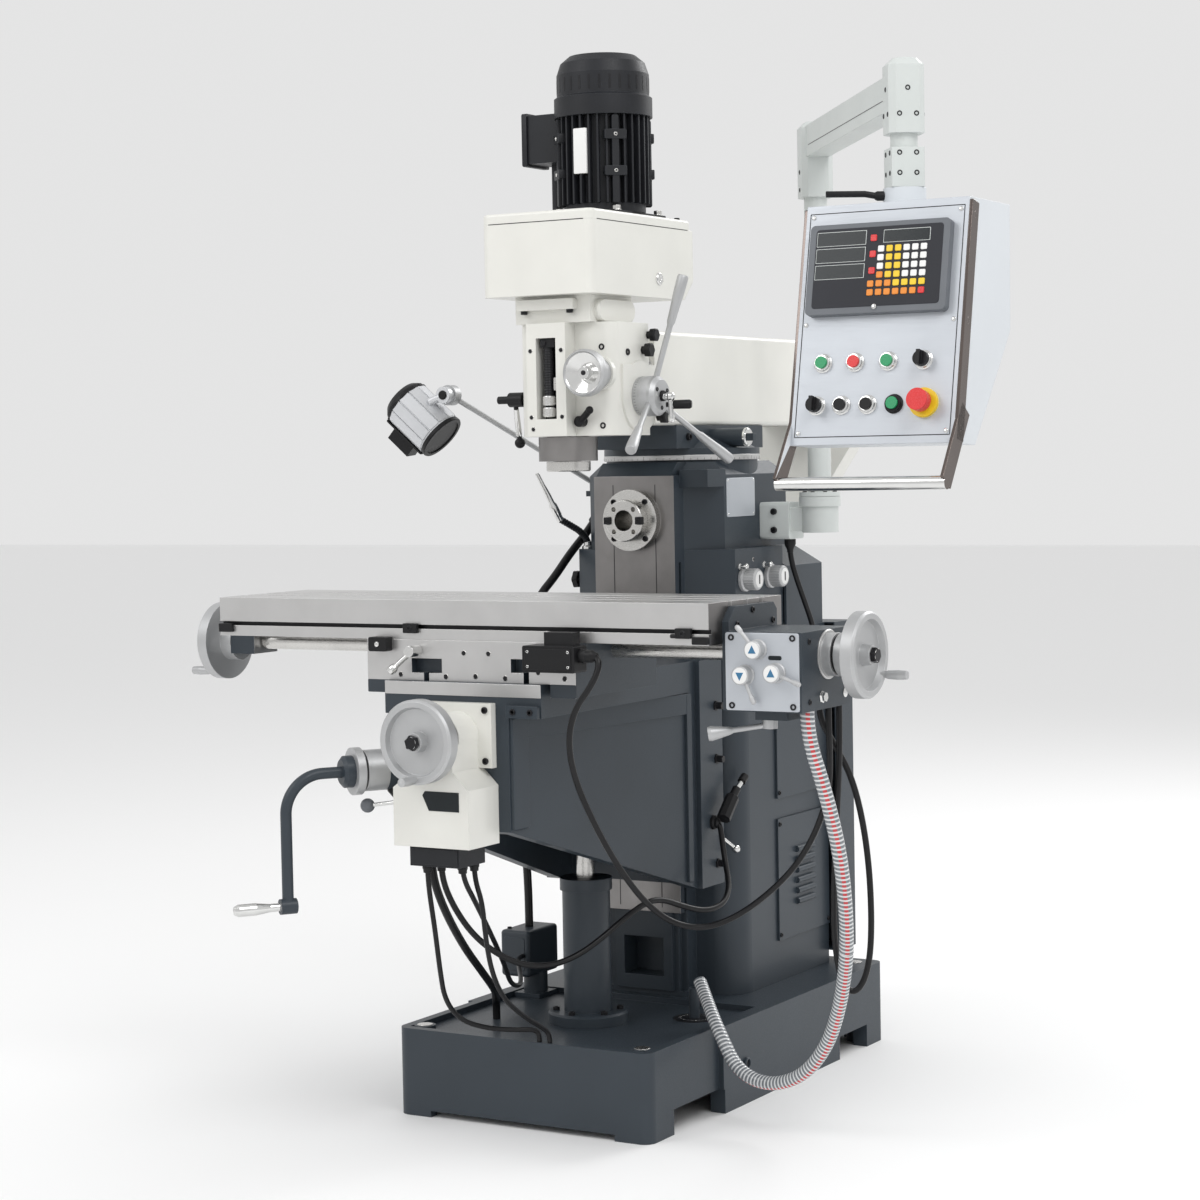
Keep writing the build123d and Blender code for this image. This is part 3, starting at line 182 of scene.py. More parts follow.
def blank(name, values):
    """A new material, its node tree, and its shader with some inputs set."""
    material = bpy.data.materials.new(name)
    material.use_nodes = True
    shader = material.node_tree.nodes["Principled BSDF"]
    tune(shader, values)
    return material, material.node_tree, shader


GLOSS_SPREAD = 0.06
BUMP_STRENGTH = 0.6
# Strength of the painted edge highlight, and the facing range over which it fades
EDGE_HIGHLIGHT_SHARE = 0.8
EDGE_HIGHLIGHT_FACING = (0.90, 0.995)
PATCH_DETAIL = 4.0
BEVEL_SAMPLES = 4


def surface(name, colour, roughness, metallic=0.0, variation=0.06, patch=7.0, grain=700.0,
            stretch=(1, 1, 1), relief=0.00006, edge=0.0015, edge_tone=1.35, coat=0.0, shine=0.5):
    """A finish with patchy tone, fine grain, uneven gloss and a painted highlight on rounded edges."""
    material, tree, shader = blank(name, {
        "Metallic": metallic, "Coat Weight": coat, "Specular IOR Level": shine})
    place = added(tree, "TexCoord", {})
    stretched = added(tree, "Mapping", {"Scale": stretch})
    link(tree, place, "Object", stretched, "Vector")
    patches = noise(tree, place, patch, PATCH_DETAIL, "Object")
    tone = mixed(tree, ranged(tree, patches, 0, 0, 1).outputs[0],
                 tinted(colour, 1 - variation), tinted(colour, 1 + variation))
    fine = noise(tree, stretched, grain)
    uneven = ranged(tree, fine, 0, roughness - GLOSS_SPREAD, roughness + GLOSS_SPREAD)
    link(tree, uneven, 0, shader, "Roughness")
    bump = added(tree, "Bump", {"Strength": BUMP_STRENGTH, "Distance": relief})
    link(tree, fine, 0, bump, "Height")
    # Painted highlight: near rounded edges the colour is mixed towards the colour times edge_tone; an
    # edge_tone under one darkens the edges instead
    if edge:
        rounded = added(tree, "Bevel", {"Radius": edge})
        rounded.samples = BEVEL_SAMPLES
        flat = added(tree, "NewGeometry", {})
        facing = added(tree, "VectorMath", {}, "DOT_PRODUCT")
        link(tree, rounded, 0, facing, 0)
        link(tree, flat, "Normal", facing, 1)
        edge_highlight = ranged(tree, facing, "Value", EDGE_HIGHLIGHT_SHARE, 0.0, *EDGE_HIGHLIGHT_FACING)
        tone = mixed(tree, edge_highlight.outputs[0], tone, tinted(colour, edge_tone))
        link(tree, rounded, 0, bump, "Normal")
    link(tree, tone, 2, shader, "Base Color")
    link(tree, bump, 0, shader, "Normal")
    return material


HOSE_PITCH = 0.0085
LINE_AROUND = 0.25
LINE_HALF_WIDTH = 0.045


def hose_wall():
    """Clear hose wall: pale spiral over one red line, drawn on the tube's own around and along."""
    material, tree, shader = blank("hose_wall", {"Roughness": 0.16, "Coat Weight": 0.5})
    place = added(tree, "UVMap", {})
    split = added(tree, "SeparateXYZ", {})
    link(tree, place, 0, split, 0)
    turns = added(tree, "Math", {1: 1 / HOSE_PITCH}, "MULTIPLY_ADD")
    link(tree, split, 1, turns, 0)
    link(tree, split, 0, turns, 2)
    phase = added(tree, "Math", {1: 0.5}, "PINGPONG")
    link(tree, turns, 0, phase, 0)
    grime = noise(tree, place, 30.0)
    wall = mixed(tree, ranged(tree, grime, 0, 0, 1).outputs[0], (0.13, 0.145, 0.16), (0.21, 0.225, 0.24))
    aside = added(tree, "Math", {1: LINE_AROUND, 2: LINE_HALF_WIDTH}, "COMPARE")
    link(tree, split, 0, aside, 0)
    striped = mixed(tree, aside.outputs[0], wall, (0.50, 0.035, 0.04))
    ringed = mixed(tree, ranged(tree, phase, 0, 0, 1, 0.26, 0.34).outputs[0], striped, (0.66, 0.67, 0.68))
    link(tree, ringed, 2, shader, "Base Color")
    return material


SLATE = surface("slate_enamel", (0.030, 0.040, 0.051), 0.44, grain=420, relief=0.00009, coat=0.06, shine=0.4)
IVORY = surface("ivory_enamel", (0.74, 0.735, 0.69), 0.34, variation=0.03, grain=380, edge_tone=1.1,
                coat=0.25)
PALE = surface("pale_enamel", (0.59, 0.62, 0.605), 0.40, variation=0.03, grain=300, edge_tone=1.15)
BOX_WHITE = surface("box_enamel", (0.64, 0.67, 0.70), 0.42, variation=0.02, grain=500, edge_tone=1.15)
PANEL = surface("panel_alloy", (0.50, 0.525, 0.56), 0.40, 0.35, variation=0.03, grain=90, stretch=(0.2, 9, 9))
STEEL = surface("ground_steel", (0.60, 0.59, 0.57), 0.26, 1.0, 0.05, 11, 60, (1, 22, 22), 0.00003)
BRIGHT = surface("scraped_iron", (0.56, 0.555, 0.55), 0.34, 0.85, 0.04, 14, 45, (1.5, 30, 30), 0.00003)
WAY_STEEL = surface("way_steel", (0.26, 0.25, 0.245), 0.36, 1.0, 0.16, 9, 50, (30, 30, 0.6), 0.00003)
POLISHED = surface("polished_steel", (0.72, 0.72, 0.71), 0.14, 1.0, 0.04, 20, 150, relief=0.00002)
ALLOY = surface("wheel_alloy", (0.48, 0.485, 0.49), 0.44, 0.6, 0.04, 16, 800, relief=0.00006)
DIAL = surface("dial_alloy", (0.50, 0.505, 0.51), 0.50, 0.5, 0.05, 18, 300, relief=0.00003)
IRON_BLACK = surface("motor_black", (0.014, 0.015, 0.018), 0.46, 0.0, 0.15, 12, 300, edge_tone=3.0, shine=0.3)
BLACK = surface("black_plastic", (0.010, 0.010, 0.011), 0.42, 0.0, 0.12, 20, 900, edge_tone=2.5, shine=0.25)
BOLT = surface("blackened_steel", (0.014, 0.014, 0.016), 0.36, 0.2, 0.2, 60, 900, edge=0.0004,
               edge_tone=2.5, shine=0.3)
GREY = surface("readout_grey", (0.13, 0.14, 0.155), 0.50, 0.0, 0.05, 20, 1200, relief=0.0001)
WHITE = surface("white_plastic", (0.80, 0.80, 0.79), 0.35, 0.0, 0.02, 20, 900, edge_tone=1.1)
GREEN = surface("green_plastic", (0.010, 0.27, 0.10), 0.28, 0.0, 0.06, 40, 900, edge_tone=1.6)
RED = surface("red_plastic", (0.62, 0.020, 0.022), 0.26, 0.0, 0.05, 40, 900, edge_tone=1.4)
YELLOW = surface("yellow_plastic", (0.80, 0.55, 0.02), 0.38, 0.0, 0.04, 40, 900, edge_tone=1.2)
ORANGE = surface("orange_plastic", (0.75, 0.24, 0.02), 0.38, 0.0, 0.04, 40, 900, edge_tone=1.2)
BLUE = surface("blue_print", (0.035, 0.16, 0.30), 0.45, 0.0, 0.04, 40, 900, edge=0.0)
CABLE = surface("cable_sheath", (0.007, 0.007, 0.008), 0.34, 0.0, 0.2, 14, 500, edge=0.0, shine=0.3)
BELT = surface("belt_rubber", (0.015, 0.015, 0.016), 0.62, 0.0, 0.2, 30, 700)
HOSE = hose_wall()
FACE = surface("readout_face", (0.020, 0.021, 0.027), 0.45, 0.0, 0.05, 20, 1200, relief=0.0001, shine=0.3)
DARK_POLISH = surface("strap_steel", (0.15, 0.125, 0.115), 0.17, 1.0, 0.1, 9, 60, (1, 20, 20), 0.00002)
SCREEN = surface("display_glass", (0.008, 0.012, 0.014), 0.14, 0.0, 0.1, 20, 900, edge=0.0, shine=0.3)
LENS = surface("lamp_lens", (0.010, 0.010, 0.011), 0.12, 0.0, 0.1, 40, 250, edge=0.0, shine=0.3)
LAMP = surface("lamp_alloy", (0.66, 0.67, 0.69), 0.36, 0.45, 0.03, 20, 90, (1, 1, 14), 0.00002,
               edge_tone=0.55)


PLAIN_FINISHES = (
    (SLATE, ("base", "screw_pedestal", "column_covers", "coolant_pump", "electrical_cabinet", "turret",
             "knee")),
    (IVORY, ("ram", "arbor_support", "head", "belt_housing", "belt_lid")),
    (PALE, ("pendant_bracket", "pendant_arm")),
    (STEEL, ("horizontal_spindle", "vertical_spindle", "elevating_screw", "table_screw")),
    (WAY_STEEL, ("quill",)),
    (ALLOY, ("table_handwheels", "cross_handwheel", "quill_feed_hub", "feed_lever", "lamp_arm",
             "motor_pulley", "spindle_pulley")),
    (DIAL, ("speed_dial_front", "speed_dial_rear", "feed_selector_top", "feed_selector_left",
            "feed_selector_right")),
    (POLISHED, ("saddle_clamp_lever",)),
    (BLACK, ("quill_lock_lever", "feed_clutch_lever", "table_limit_switch", "jog_button_left",
             "jog_button_right", "speed_switch", "mode_switch")),
    (IRON_BLACK, ("drive_motor",)),
    (BELT, ("drive_belt",)),
    (GREY, ("dro_console",)),
    (GREEN, ("start_button", "reverse_button", "lit_button")),
    (RED, ("stop_button", "emergency_stop")),
)


def dress(node, base, *patches):
    """Gives a CAD node its finish; each patch is a finish and the test that its faces pass."""
    mesh = nodes[node].data
    mesh.materials.clear()
    for material in (base, *(patch[0] for patch in patches)):
        mesh.materials.append(material)
    for face in mesh.polygons:
        face.material_index = 0
        for index, (_, passes) in enumerate(patches):
            if passes(face.center, face.normal):
                face.material_index = index + 1


def dress_nodes():
    """Finishes of the CAD nodes."""
    for material, names in PLAIN_FINISHES:
        for node in names:
            dress(node, material)
    dress("column", SLATE,
          (WAY_STEEL, lambda at, out: abs(at.x) < 0.0975 and at.y < -0.0365 and at.z > 0.36),
          (STEEL, lambda at, out: math.hypot(at.x, at.z - SPINDLE_Z) < 0.066 and at.y < -0.038))
    dress("knee_gearbox", IVORY, (IRON_BLACK, lambda at, out: at.z < 0.6005))
    dress("table", BRIGHT, (SLATE, lambda at, out: at.x < -0.5935),
          # The front groove's inner faces are painted near-black: painted shade in the recess
          (BOLT, lambda at, out: -0.6968 < at.y < -0.686 and 1.0045 < at.z < 1.0135),
          (WAY_STEEL, lambda at, out: at.x > 0.5265))
    dress("saddle", SLATE, (BRIGHT, lambda at, out: at.y < -0.6995 or out.z > 0.9))
    dress("feed_gearbox", SLATE, (ALLOY, lambda at, out: at.x > 0.6955))
    dress("fine_feed_wheel", ALLOY, (POLISHED, lambda at, out: (
        math.hypot(at.x - 0.104, at.z - 1.497) < 0.0405 and at.y < -0.3985)))
    dress("lamp_head", LAMP, (BLACK, lambda at, out: (at - LAMP_AT * MM).dot(LAMP_UP) < -0.0525))
    dress_crank()
    dress_pendant_box()


def dress_crank():
    """Slate crank with an alloy dial ring and a bright grip."""
    start = Vector((-0.163, -0.746, 0.735))
    along = Vector((-0.574, -0.819, 0)).normalized()

    def reach(at):
        return (at - start).dot(along)

    dress("knee_crank", SLATE,
          (ALLOY, lambda at, out: reach(at) < 0.0665 and at.z > 0.68),
          (BOLT, lambda at, out: 0.0445 < reach(at) < 0.0495 and at.z > 0.68),
          (POLISHED, lambda at, out: reach(at) > 0.2165))


def dress_pendant_box():
    """Pale sheet box with a brushed panel, bezels, a yellow stop base and a bright handle."""
    stop = PANEL_FOOT + X * 0.101 + PANEL_UP * 0.073

    def height(at):
        return (at - PANEL_FOOT).dot(PANEL_OUT)

    dress("pendant_box", BOX_WHITE,
          (PANEL, lambda at, out: abs(height(at)) < 0.0005 and out.dot(PANEL_OUT) > 0.99),
          (DARK_POLISH, lambda at, out: at.z < 1.338 or (abs(at.x - PANEL_FOOT.x) > 0.1615 and at.z < 1.37)),
          (POLISHED, lambda at, out: (
              math.hypot(at.y + 0.600, at.z - 1.274) < 0.0128 and abs(at.x - PANEL_FOOT.x) < 0.161)),
          (DIAL, lambda at, out: 0.0005 < height(at) < 0.009 and at.y < -0.48 and at.z > 1.38),
          (YELLOW, lambda at, out: 0.0005 < height(at) < 0.009 and (at - stop).length < 0.031))


# Cords

SHARP_ANGLE = math.radians(32)


def spline_points(route, resolution=12):
    """Points of the smooth line that a cord's route gives."""
    curve = bpy.data.curves.new("route", "CURVE")
    curve.dimensions = "3D"
    curve.resolution_u = resolution
    spline = curve.splines.new("NURBS")
    spline.points.add(len(route) - 1)
    for point, place in zip(spline.points, route):
        point.co = (*place, 1)
    spline.order_u = 3
    spline.use_endpoint_u = True
    holder = bpy.data.objects.new("route", curve)
    bpy.context.scene.collection.objects.link(holder)
    line = bpy.data.meshes.new_from_object(holder)
    points = [vertex.co.copy() for vertex in line.vertices]
    bpy.data.objects.remove(holder)
    bpy.data.curves.remove(curve)
    bpy.data.meshes.remove(line)
    return points


def sweep(shape, points, radius, sides=14, first_turn=None, rib=0.0, pitch=1.0):
    """Sweeps a round tube along points, with around and along as its texture coordinates."""
    layer = shape.loops.layers.uv.verify()
    along = (points[1] - points[0]).normalized()
    side = first_turn or along.orthogonal().normalized()
    rings, travelled, run = [], [], 0.0
    for index, point in enumerate(points):
        ahead = points[min(index + 1, len(points) - 1)] - points[max(index - 1, 0)]
        along = ahead.normalized()
        side = (side - along * side.dot(along)).normalized()
        across = along.cross(side)
        if index:
            run += (point - points[index - 1]).length
        ring = []
        for corner in range(sides):
            turn = 2 * math.pi * corner / sides
            out = radius - rib * (0.5 - 0.5 * math.cos(turn + 2 * math.pi * run / pitch))
            ring.append(shape.verts.new(point + (side * math.cos(turn) + across * math.sin(turn)) * out))
        rings.append(ring)
        travelled.append(run)
    for index in range(len(rings) - 1):
        for corner in range(sides):
            after = (corner + 1) % sides
            face = shape.faces.new((rings[index][corner], rings[index][after],
                                    rings[index + 1][after], rings[index + 1][corner]))
            face.smooth = True
            spots = ((corner, index), (corner + 1, index), (corner + 1, index + 1), (corner, index + 1))
            for loop, (around, step) in zip(face.loops, spots):
                loop[layer].uv = (around / sides, travelled[step])
    shape.faces.new(list(reversed(rings[0])))
    shape.faces.new(rings[-1])
    return side


def made(shape, name, *materials):
    """An object from a built mesh."""
    mesh = bpy.data.meshes.new(name)
    bmesh.ops.recalc_face_normals(shape, faces=shape.faces)
    shape.to_mesh(mesh)
    shape.free()
    mesh.set_sharp_from_angle(angle=SHARP_ANGLE)
    for material in materials:
        mesh.materials.append(material)
    piece = bpy.data.objects.new(name, mesh)
    bpy.context.scene.collection.objects.link(piece)
    return piece


def cable(name, route, radius):
    """One declared cable along a route's smooth line."""
    points = spline_points(route)
    shape = bmesh.new()
    sweep(shape, points, radius)
    piece = made(shape, name, CABLE)
    return piece


COOLANT_ROUTE = [
    (0.676, -0.601, 0.863), (0.676, -0.601, 0.815), (0.698, -0.580, 0.720), (0.711, -0.545, 0.600),
    (0.705, -0.508, 0.480), (0.684, -0.465, 0.380), (0.648, -0.420, 0.285), (0.605, -0.385, 0.198),
    (0.545, -0.368, 0.128), (0.464, -0.353, 0.096), (0.384, -0.336, 0.112), (0.330, -0.312, 0.182),
    (0.262, -0.242, 0.236), (0.236, -0.214, 0.258),
]
SWITCH_ROUTE = [
    (0.288, -0.722, 0.962), (0.306, -0.722, 0.962), (0.314, -0.728, 0.942), (0.302, -0.738, 0.908),
    (0.268, -0.742, 0.866), (0.244, -0.730, 0.805), (0.239, -0.700, 0.727), (0.256, -0.650, 0.627),
    (0.276, -0.600, 0.545), (0.298, -0.545, 0.475), (0.328, -0.495, 0.430), (0.370, -0.448, 0.414),
    (0.427, -0.422, 0.435), (0.503, -0.420, 0.489), (0.572, -0.436, 0.552), (0.626, -0.460, 0.625),
    (0.664, -0.485, 0.705), (0.680, -0.516, 0.780), (0.682, -0.524, 0.825), (0.682, -0.524, 0.863),
]
LOOP_ROUTE = [
    (0.640, -0.475, 0.863), (0.640, -0.475, 0.835), (0.660, -0.460, 0.790), (0.684, -0.432, 0.725),
    (0.694, -0.402, 0.630), (0.698, -0.384, 0.520), (0.697, -0.380, 0.400), (0.684, -0.380, 0.330),
    (0.662, -0.388, 0.300), (0.640, -0.396, 0.324), (0.634, -0.412, 0.400), (0.645, -0.434, 0.500),
    (0.662, -0.456, 0.620), (0.678, -0.474, 0.740), (0.682, -0.478, 0.800), (0.682, -0.478, 0.863),
]
KNEE_ROUTE = [
    (0.190, -0.060, 0.563), (0.206, -0.060, 0.563), (0.214, -0.066, 0.530), (0.228, -0.080, 0.482),
    (0.252, -0.108, 0.442), (0.264, -0.150, 0.415), (0.258, -0.195, 0.405), (0.243, -0.230, 0.408),
    (0.223, -0.270, 0.423), (0.205, -0.310, 0.440), (0.192, -0.350, 0.440), (0.172, -0.400, 0.416),
    (0.145, -0.450, 0.380), (0.115, -0.492, 0.350), (0.083, -0.540, 0.335), (0.052, -0.590, 0.341),
    (0.022, -0.640, 0.369), (-0.002, -0.690, 0.414), (-0.016, -0.735, 0.475), (-0.018, -0.770, 0.535),
    (-0.018, -0.770, 0.563),
]
DROP_ROUTES = {
    "drop_cable_left": (0.005, [
        (-0.031, -0.798, 0.563), (-0.031, -0.798, 0.530), (-0.036, -0.770, 0.435), (-0.047, -0.740, 0.351),
        (-0.064, -0.700, 0.284), (-0.060, -0.655, 0.237), (-0.031, -0.610, 0.215), (0.005, -0.568, 0.206),
        (0.036, -0.535, 0.204), (0.042, -0.526, 0.194), (0.042, -0.526, 0.178),
    ]),
    "drop_cable_thick": (0.008, [
        (-0.046, -0.760, 0.563), (-0.046, -0.760, 0.535), (-0.048, -0.720, 0.465), (-0.058, -0.640, 0.380),
        (-0.081, -0.540, 0.310), (-0.122, -0.430, 0.250), (-0.172, -0.350, 0.218), (-0.184, -0.330, 0.198),
        (-0.184, -0.330, 0.166),
    ]),
    "drop_cable_pump": (0.005, [
        (0.038, -0.782, 0.563), (0.038, -0.782, 0.540), (0.040, -0.740, 0.485), (0.024, -0.660, 0.405),
        (-0.014, -0.560, 0.332), (-0.066, -0.460, 0.274), (-0.098, -0.380, 0.250), (-0.140, -0.300, 0.242),
        (-0.205, -0.205, 0.250), (-0.232, -0.168, 0.262), (-0.232, -0.145, 0.262),
    ]),
    "drop_cable_right": (0.005, [
        (0.040, -0.745, 0.563), (0.040, -0.745, 0.535), (0.060, -0.750, 0.490), (0.058, -0.740, 0.430),
        (0.044, -0.700, 0.351), (0.038, -0.650, 0.286), (0.048, -0.590, 0.240), (0.060, -0.545, 0.212),
        (0.066, -0.526, 0.196), (0.066, -0.526, 0.178),
    ]),
}
COLUMN_ROUTES = {
    "pendant_cable": (0.006, [
        (0.222, 0.258, 1.130), (0.222, 0.258, 1.105), (0.231, 0.267, 1.060), (0.239, 0.291, 1.006),
        (0.244, 0.322, 0.950), (0.240, 0.350, 0.880), (0.224, 0.385, 0.805), (0.214, 0.425, 0.770),
        (0.214, 0.470, 0.770),
    ]),
    "coolant_supply_hose": (0.009, [
        (-0.1875, 0.113, 1.188), (-0.18915, 0.0888, 1.1671), (-0.208, 0.045, 1.122), (-0.219, -0.008, 1.070),
        (-0.228, -0.052, 1.036), (-0.236, -0.082, 0.985), (-0.243, -0.100, 0.900), (-0.248, -0.106, 0.790),
        (-0.252, -0.103, 0.660), (-0.254, -0.095, 0.530), (-0.254, -0.086, 0.430), (-0.254, -0.083, 0.370),
        (-0.254, -0.083, 0.315),
    ]),
}
CABLE_R = 0.006
HOSE_R = 0.014
HOSE_RIB = 0.0008
HOSE_SIDES = 20
HOSE_STEPS = 48
HOSE_LINE_WAY = Vector((0.86, 0.5, 0))
HOSE_SPANS = (
    ("coolant_hose_top", "table", "saddle", 0.600),
    ("coolant_hose_middle", "saddle", "knee", 0.400),
    ("coolant_hose_end", "knee", "machine_column", None),
)


def lay_coolant_hose():
    """The coolant hose in three spans, each between two bodies that one joint joins."""
    points = spline_points(COOLANT_ROUTE, HOSE_STEPS)
    start, turn = 0, HOSE_LINE_WAY
    for name, upper, lower, low_z in HOSE_SPANS:
        stop = len(points) - 1
        if low_z:
            stop = next(index for index, point in enumerate(points) if point.z < low_z)
        span = points[start:stop + 1]
        shape = bmesh.new()
        turn = sweep(shape, span, HOSE_R, HOSE_SIDES, turn, rib=HOSE_RIB, pitch=HOSE_PITCH)
        piece = made(shape, name, HOSE)
        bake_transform(piece)
        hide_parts("coolant_hose")
        start = stop


def lay_cables():
    """Power and switch cables between the knee, the saddle, the table and the base."""
    switch = cable("switch_cable", SWITCH_ROUTE, CABLE_R)
    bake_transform(switch)
    loop = cable("gearbox_loop_cable", LOOP_ROUTE, CABLE_R)
    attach(loop, "table")
    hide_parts("table_cables")
    knee = cable("knee_motor_cable", KNEE_ROUTE, CABLE_R)
    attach(knee, "knee")
    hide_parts("knee_cables")
    for name, (radius, route) in DROP_ROUTES.items():
        drop = cable(name, route, radius)
        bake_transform(drop)
        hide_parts("knee_cables")
    for name, (radius, route) in COLUMN_ROUTES.items():
        fixed = cable(name, route, radius)
        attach(fixed, "machine_column")
        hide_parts("column_cables")


# Fittings, written in millimetres and grouped by the body they ride and their finish slot

TIP = 0.2
groups = {}


def group(target, material):
    """The mesh of one body and slot, and the material's place in it."""
    if target not in groups:
        groups[target] = (bmesh.new(), [])
    shape, materials = groups[target]
    if material not in materials:
        materials.append(material)
    return shape, materials.index(material)


def targets(body, *slots):
    """Groups of one body's fittings, one for each finish slot."""
    return [(body, slot) for slot in slots]


def basis(normal, up):
    """Right, over and out directions of a face."""
    out = Vector(normal).normalized()
    right = up.cross(out).normalized()
    return right, out.cross(right), out


def ways(count, first, second, start=0.0):
    """Directions spaced evenly round an axis, from a start angle in degrees."""
    turns = [math.radians(start + 360 * step / count) for step in range(count)]
    return [first * math.cos(turn) + second * math.sin(turn) for turn in turns]


def loft(target, material, rings, smooth=False):
    """Skins rings of points and caps both ends."""
    shape, index = group(target, material)
    loops = [[shape.verts.new(point) for point in ring] for ring in rings]
    count = len(loops[0])
    faces = [shape.faces.new(list(reversed(loops[0]))), shape.faces.new(loops[-1])]
    for below, above in zip(loops, loops[1:]):
        for corner in range(count):
            after = (corner + 1) % count
            side = shape.faces.new((below[corner], below[after], above[after], above[corner]))
            side.smooth = smooth
            faces.append(side)
    for face in faces:
        face.material_index = index


def prism(target, material, at, normal, outline, height, chamfer=0.8, up=Z, sink=0.6):
    """A plate with a chamfered front, from an outline of (right, over) points on a face."""
    right, over, out = basis(normal, up)
    middle = sum((Vector(spot) for spot in outline), Vector((0, 0))) / len(outline)
    rings = []
    for level, inset in ((-sink, 0), (height - chamfer, 0), (height, chamfer)):
        ring = []
        for spot in outline:
            reach = Vector(spot) - middle
            u, v = middle + reach * (1 - inset / max(reach.length, inset * 2))
            ring.append(Vector(at) + right * u + over * v + out * level)
        rings.append(ring)
    loft(target, material, rings)


def box(target, material, at, normal, width, tall, height, corner=1.5, **more):
    """A rounded rectangular plate centred on a point of a face."""
    outline = []
    for side_u, side_v, start in ((1, 1, 0), (-1, 1, 90), (-1, -1, 180), (1, -1, 270)):
        for step in (0, 30, 60, 90):
            turn = math.radians(start + step)
            outline.append((side_u * (width / 2 - corner) + corner * math.cos(turn),
                            side_v * (tall / 2 - corner) + corner * math.sin(turn)))
    prism(target, material, at, normal, outline, height, **more)


def groove(target, at, normal, width, tall, height=0.3, corner=0.7, up=Z):
    """A thin dark line, slot or mark on a face."""
    box(target, BOLT, at, normal, width, tall, height, corner, chamfer=0.1, up=up)


def ticks(target, centre, first, second, up, count, every, radius, size, height=0.25, corner=0.3, lift=0.0):
    """Marks round a dial; size gives their width and their long and short reach."""
    width, long, short = size
    for step, way in enumerate(ways(count, first, second)):
        tall = short if step % every else long
        spot = Vector(centre) + up * (lift * tall) + way * radius
        groove(target, spot, way, width, tall, height, corner, up)


def lathe(target, material, at, axis, profile, sides=24):
    """A turned shape from (radius, distance) points along an axis."""
    along = Vector(axis).normalized()
    side = along.orthogonal().normalized()
    around = ways(sides, side, along.cross(side))
    rings = []
    for radius, level in profile:
        middle = Vector(at) + along * level
        rings.append([middle + way * radius for way in around])
    loft(target, material, rings, smooth=True)


def cap(foot, wide, shoulder, narrow, top, inner=TIP):
    """Profile of a round cap or a ring with a bevelled edge."""
    return [(wide, foot), (wide, shoulder), (narrow, top), (inner, top)]


def tube(target, material, route, radius, sides=12):
    """A round bar or hose through points."""
    shape, index = group(target, material)
    before = len(shape.faces)
    sweep(shape, [Vector(spot) for spot in route], radius, sides)
    shape.faces.ensure_lookup_table()
    for number in range(before, len(shape.faces)):
        shape.faces[number].material_index = index


def screws(target, normal, radius, height, spots, material=BOLT):
    """Socket-head cap screws with their recesses."""
    floor = height - radius * 0.5
    profile = [(radius, -0.6), (radius, height - 0.8), (radius - 0.8, height), (radius * 0.56, height),
               (radius * 0.5, floor), (TIP, floor)]
    for spot in spots:
        lathe(target, material, spot, normal, profile, 18)


def holes(target, normal, radius, spots):
    """Dark counterbores with a thin bright rim."""
    for spot in spots:
        lathe(target, STEEL, spot, normal, [(radius + 1.2, -0.3), (radius + 1.2, 0.25), (radius, 0.4)], 20)
        lathe(target, BOLT, spot, normal, [(radius, 0.2), (radius, 0.9), (radius - 1.0, 0.7), (TIP, 0.6)], 20)


KNOB_LOBES = 6
KNOB_SIDES = 36
KNOB_DEPTH = 0.12
KNOB_PROFILE = ((0.35, 0.6), (0.4, 0.96), (0.9, 1.0), (1.0, 0.8))
LEVER_R = 4.0


def knob(target, at, normal, radius, height):
    """A lobed clamp knob."""
    right, over, out = basis(normal, Z)
    rings = []
    for level, size in ((-0.5, 0.6), *((height * share, size) for share, size in KNOB_PROFILE)):
        ring = []
        for step in range(KNOB_SIDES):
            turn = 2 * math.pi * step / KNOB_SIDES
            reach = radius * size * (1 - KNOB_DEPTH * (0.5 - 0.5 * math.cos(KNOB_LOBES * turn)))
            spoke = right * math.cos(turn) + over * math.sin(turn)
            ring.append(Vector(at) + spoke * reach + out * level)
        rings.append(ring)
    loft(target, BLACK, rings, smooth=True)


def ball_lever(target, start, end, ball, material=POLISHED):
    """A bar with a ball end."""
    tube(target, POLISHED, [start, end], LEVER_R)
    turns = [math.radians(angle) for angle in range(-84, 85, 14)]
    profile = [(ball * math.cos(turn), ball * math.sin(turn)) for turn in turns]
    lathe(target, material, end, Vector(end) - Vector(start), profile)


def finish_fittings():
    """Turns every group into a piece that rides its body."""
    for (body, slot), (shape, materials) in groups.items():
        bmesh.ops.scale(shape, vec=(MM, MM, MM), verts=shape.verts)
        piece = made(shape, f"{body}_fittings_{slot}", *materials)
        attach(piece, body)


